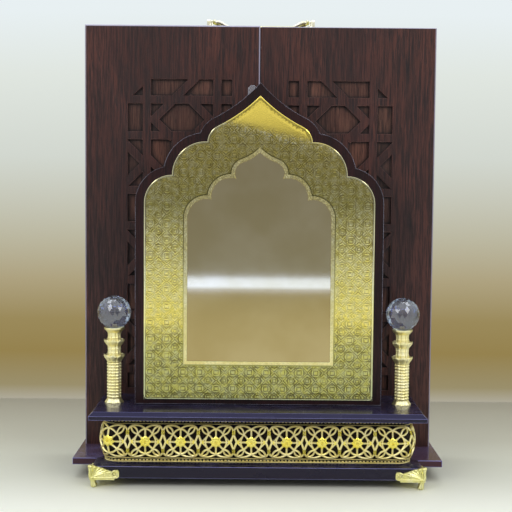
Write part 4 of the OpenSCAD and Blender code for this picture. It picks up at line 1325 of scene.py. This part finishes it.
@dataclass
class MihrabDoor:
    """The mihrab-shaped door: eased board, etched gold plate, bead and mirror."""

    finishes: Finishes
    rim: float = 0.6
    rim_drop: float = 0.35
    groove: tuple[float, float] = (1.4, 2.1)
    groove_drop: float = 0.12
    grid: float = 2.2
    clear: float = 0.7

    def plate(self) -> None:
        """Builds the gold plate with a bevelled rim and a groove, and marks its layout on it."""
        low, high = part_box("gold_plate")
        outline, bead = (finer(front_loops(node)[0], step)
                         for node, step in (("gold_plate", 1.2), ("bead_frame", 1.5)))
        loops = [outline, *(inset(outline, deep) for deep in (self.rim, *self.groove))]
        xs = np.arange(low.x / MM, high.x / MM, self.grid)
        zs = np.arange(low.z / MM, high.z / MM, self.grid)
        net = np.array([(x + (0.5 * self.grid if k % 2 else 0.0), z)
                        for k, z in enumerate(zs) for x in xs])
        net = net[inside(net, outline)]
        points, edges = [], []
        for loop in loops:
            net = net[gap_to(net, loop) > self.clear]
            first = len(points)
            points += [Vector(p) for p in loop]
            edges += [(first + k, first + (k + 1) % len(loop)) for k in range(len(loop))]
        points += [Vector(p) for p in net]
        made = delaunay_2d_cdt(points, edges, [], 1, 1e-4)
        flat = np.array([tuple(v) for v in made[0]])
        edge = gap_to(flat, outline)
        drop = np.where(edge < self.rim * 0.5, self.rim_drop, 0.0)
        sunk = (edge > self.groove[0] + 0.15) & (edge < self.groove[1] + 0.3)
        drop = np.where(sunk, self.groove_drop, drop)
        bm = bmesh.new()
        front = low.y / MM
        verts = [bm.verts.new((x * MM, (front + d) * MM, z * MM)) for (x, z), d in zip(flat, drop)]
        rear = [bm.verts.new((x * MM, high.y, z * MM)) for x, z in flat]
        for face in (f for f in made[2] if len(set(f)) == len(f)):
            bm.faces.new([verts[i] for i in face])
            bm.faces.new([rear[i] for i in reversed(face)])
        for a, b in map(tuple, made[1]):
            link = bm.edges.get((verts[a], verts[b]))
            if link is not None and len(link.link_faces) == 1:
                bm.faces.new((verts[a], verts[b], rear[b], rear[a]))
        plate = finished(bm, "gold_plate_etched", DOOR, "gold", self.finishes.etched, smooth=20)
        both = np.array([(v.co.x / MM, v.co.z / MM) for v in plate.data.vertices])
        reach = gap_to(both, bead) * np.where(inside(both, bead), -1.0, 1.0)
        for name, values in (("edge_mm", gap_to(both, outline)), ("bead_mm", reach)):
            layer = plate.data.attributes.new(name, "FLOAT", "POINT")
            layer.data.foreach_set("value", values.astype(np.float32))
        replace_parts(plate, "gold_plate")

    def build(self) -> None:
        """Builds every piece of the door."""
        EasedBoard("door_board", "walnut", (self.finishes.door, self.finishes.door_arris), DOOR,
                   1.5, 3, arris=1).build()
        self.plate()
        EasedBoard("bead_frame", "gold", (self.finishes.bead,), DOOR, 0.85, 4).build()
        EasedBoard("centre_plate", "champagne_mirror", (self.finishes.mirror,), DOOR, 0.2).build()
        EasedBoard("pull_tab", "acrylic", (self.finishes.acrylic,), DOOR, 0.4, 3).build()


@dataclass
class CarryingHandle:
    """The folding bail and its cast mounts on the case."""

    finishes: Finishes

    def build(self) -> None:
        """Adds a cast leaf to each mount and dresses the metal."""
        for side in Side:
            low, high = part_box("handle_post_" + side.word)
            foot = Vector((high.x if side is Side.LEFT else low.x, low.y + 1.6 * MM,
                           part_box("backboard_left")[1].z))
            bm = bmesh.new()

            def spot(inwards: float, up: float) -> Vector:
                """A point over the case, measured from the post's inner edge."""
                return foot + Vector((-side.value * inwards * MM, 0.0, up * MM))

            leaf = [spot(a, h) for a, h in ((-3.0, 4.6), (0.0, 4.9), (2.5, 4.0), (5.0, 2.6),
                                            (7.5, 1.5), (9.5, 1.1))]
            tube(bm, leaf, [1.3, 1.5, 1.6, 1.4, 1.1, 0.6], 10)
            for a, h, r in ((-6.5, 5.2, 1.5), (-3.6, 6.0, 1.4), (1.0, 5.4, 1.2), (4.4, 3.9, 1.1)):
                pebble(bm, spot(a, h), (r,) * 3)
            for a in (-7.6, -6.0):
                tube(bm, [spot(a, h) for h in (0.2, 2.0, 4.8)], [0.9, 0.7, 1.0], 8)
            finished(bm, "handle_leaf_" + side.word, STAND, "gold", self.finishes.mount)
            dress(self.finishes.mount, "handle_post_" + side.word)
        dress(self.finishes.cast, "handle_screws", "handle_bail")


# ---------------------------------------------------------------- studio


@dataclass
class Studio:
    """Floor, backdrop, lamps and camera."""

    lens: float = 76.6659375
    pitch: float = 0.0638
    yaw: float = 0.0007
    roll: float = 0.0086
    eye: tuple[float, float, float] = (-0.0035, -1.003, 0.265)
    wall_y: float = 0.337
    card_y: float = -1.775
    key: float = 11.0
    fill: float = 8.0
    world: float = 0.5
    mirrored: float = 1.0

    def camera(self) -> None:
        """Makes the camera and sets the plain view transform."""
        data = bpy.data.cameras.new("camera")
        data.sensor_width = 36.0
        data.lens = self.lens
        data.clip_start, data.clip_end = 0.05, 50.0
        forward = Vector((math.sin(self.yaw) * math.cos(self.pitch),
                          math.cos(self.yaw) * math.cos(self.pitch), -math.sin(self.pitch)))
        right = Vector((math.cos(self.yaw), -math.sin(self.yaw), 0.0))
        up = right.cross(forward)
        right, up = (right * math.cos(self.roll) + up * math.sin(self.roll),
                     up * math.cos(self.roll) - right * math.sin(self.roll))
        camera = bpy.data.objects.new("camera", data)
        camera.matrix_world = Matrix.Translation(Vector(self.eye)) @ Matrix(
            (right, up, -forward)).transposed().to_4x4()
        bpy.context.scene.collection.objects.link(camera)
        bpy.context.scene.camera = camera
        bpy.context.scene.view_settings.view_transform = "Standard"

    @staticmethod
    def lamp(name: str, place: tuple[float, float, float], aim: tuple[float, float, float],
             size: tuple[float, float], power: float, colour: Colour = (1.0, 1.0, 1.0)) -> None:
        """Adds a soft rectangular lamp.

        Args:
            name: its name.
            place: where it hangs.
            aim: the point it faces.
            size: width and height.
            power: watts.
            colour: its colour.
        """
        data = bpy.data.lights.new(name, "AREA")
        data.shape, data.size, data.size_y = "RECTANGLE", *size
        data.energy, data.color = power, colour
        lamp = bpy.data.objects.new(name, data)
        lamp.location = place
        lamp.rotation_mode = "QUATERNION"
        lamp.rotation_quaternion = (Vector(aim) - Vector(place)).to_track_quat("-Z", "Y")
        bpy.context.scene.collection.objects.link(lamp)

    @staticmethod
    def sheet(name: str, corners: list[tuple[float, float, float]],
              material: bpy.types.Material) -> bpy.types.Object:
        """Adds a flat stage sheet."""
        mesh = bpy.data.meshes.new(name)
        mesh.from_pydata(corners, [], [tuple(range(len(corners)))])
        mesh.materials.append(material)
        made = bpy.data.objects.new(name, mesh)
        bpy.context.scene.collection.objects.link(made)
        return made

    @staticmethod
    def glowing(name: str, axis: int, span: tuple[float, float],
                stops: list[tuple[float, Colour]], lit: bool) -> bpy.types.Material:
        """A stage material coloured along one axis.

        Args:
            name: its name.
            axis: 1 for y or 2 for z.
            span: the axis values at the ramp's two ends.
            stops: the ramp.
            lit: True for a lit floor, False for a sheet that glows its own colour to camera, glossy
                and transmission rays.

        Returns:
            The material.
        """
        material = bpy.data.materials.new(name)
        material.use_nodes = True
        graph = Graph(material.node_tree)
        value = graph.split(graph.coordinates())[axis]
        share = graph.add("MapRange")
        for socket, number in zip(share.inputs, (value, *span)):
            graph.put(socket, number)
        colour = graph.ramp(share.outputs[0], stops)
        diffuse, out = graph.add("BsdfDiffuse"), graph.add("OutputMaterial")
        graph.put(diffuse.inputs["Color"], colour)
        if lit:
            graph.put(out.inputs["Surface"], diffuse.outputs[0])
            return material
        glow, path, mixer = (graph.add(kind) for kind in ("Emission", "LightPath", "MixShader"))
        graph.put(glow.inputs["Color"], colour)
        seen = graph.math("MAXIMUM", graph.math("MAXIMUM", path.outputs["Is Camera Ray"],
                                                path.outputs["Is Glossy Ray"]),
                          path.outputs["Is Transmission Ray"])
        graph.put(mixer.inputs[0], seen)
        graph.put(mixer.inputs[1], diffuse.outputs[0])
        graph.put(mixer.inputs[2], glow.outputs[0])
        clear, side = graph.add("BsdfTransparent"), graph.add("MixShader")
        graph.put(side.inputs[0], graph.add("NewGeometry").outputs["Backfacing"])
        graph.put(side.inputs[1], mixer.outputs[0])
        graph.put(side.inputs[2], clear.outputs[0])
        graph.put(out.inputs["Surface"], side.outputs[0])
        return material

    def surroundings(self) -> None:
        """Makes the floor, the backdrop and the glowing card behind the camera."""
        # painted shade: the floor darkens towards the backdrop
        floor = self.glowing("pale_floor", 1, (-0.5, self.wall_y), [
            (0.0, srgb(246, 247, 238)), (0.45, srgb(246, 247, 236)), (0.56, srgb(226, 226, 212)),
            (0.75, srgb(202, 199, 182)), (1.0, srgb(192, 188, 170))], True)
        wide = 3.0
        self.sheet("floor", [(-wide, -2.0, 0.0), (wide, -2.0, 0.0), (wide, self.wall_y, 0.0),
                             (-wide, self.wall_y, 0.0)], floor)
        wall = self.glowing("shaded_backdrop", 2, (0.0, 0.5), [
            (0.0, srgb(174, 169, 152)), (0.035, srgb(154, 143, 108)), (0.12, srgb(149, 130, 79)),
            (0.2, srgb(155, 138, 91)), (0.3, srgb(174, 162, 128)), (0.4, srgb(187, 183, 160)),
            (0.6, srgb(210, 215, 207)), (0.8, srgb(224, 230, 224)), (0.95, srgb(232, 240, 242))],
                            False)
        self.sheet("backdrop", [(-wide, self.wall_y, 0.0), (wide, self.wall_y, 0.0),
                                (wide, self.wall_y, 2.2), (-wide, self.wall_y, 2.2)], wall)
        # a card that glows in reflections only: hidden from the camera, diffuse light and shadows,
        # it puts a bright bluish band and darker bands into the mirror and the gold
        card = self.glowing("glowing_card", 2, (0.0, 1.0), [
            (0.0, (1.25, 1.55, 2.9)), (0.033, (1.25, 1.55, 2.9)), (0.04, (0.32, 0.33, 0.36)),
            (0.38, (0.26, 0.26, 0.28)), (0.46, (0.95, 0.95, 0.95)), (0.6, (0.5, 0.5, 0.5)),
            (1.0, (0.7, 0.7, 0.72))], False)
        y = self.card_y
        card = self.sheet("card", [(1.6, y, 0.0), (-1.6, y, 0.0), (-1.6, y, 1.4), (1.6, y, 1.4)],
                          card)
        card.visible_camera = False
        card.visible_diffuse = False
        card.visible_shadow = False

    def build(self) -> None:
        """Builds the whole studio."""
        self.camera()
        self.surroundings()
        self.lamp("overhead", (0.0, 0.25, 1.5), (0.0, 0.1, 0.1), (1.8, 0.7), self.key,
                  (0.92, 0.94, 1.0))
        for side in Side:
            self.lamp(f"{side.word}_fill", (side.value * 1.1, -1.2, 1.2), (0.0, 0.0, 0.2),
                      (0.9, 0.9), self.fill)
        world = bpy.data.worlds.new("world")
        bpy.context.scene.world = world
        world.use_nodes = True
        graph = Graph(world.node_tree)
        light, out = graph.add("Background"), graph.add("OutputWorld")
        light.inputs["Color"].default_value = (0.95, 0.97, 1.0, 1.0)
        graph.put(light.inputs["Strength"], graph.spread(
            graph.add("LightPath").outputs["Is Glossy Ray"], 0.0, 1.0, self.world, self.mirrored))
        graph.put(out.inputs["Surface"], light.outputs[0])


def main() -> None:
    """Builds the looks piece by piece."""
    logging.basicConfig(level=logging.INFO, format="%(name)s %(message)s")
    finishes = Finishes()
    parts = [CarvedCase(finishes), LacqueredBase(finishes), Niche(finishes),
             PiercedBand(finishes), *(CornerFoot(finishes, side) for side in Side),
             *(Pillar(finishes, side) for side in Side), MihrabDoor(finishes),
             CarryingHandle(finishes), Studio()]
    for part in parts:
        part.build()


if __name__ == "__main__":
    main()
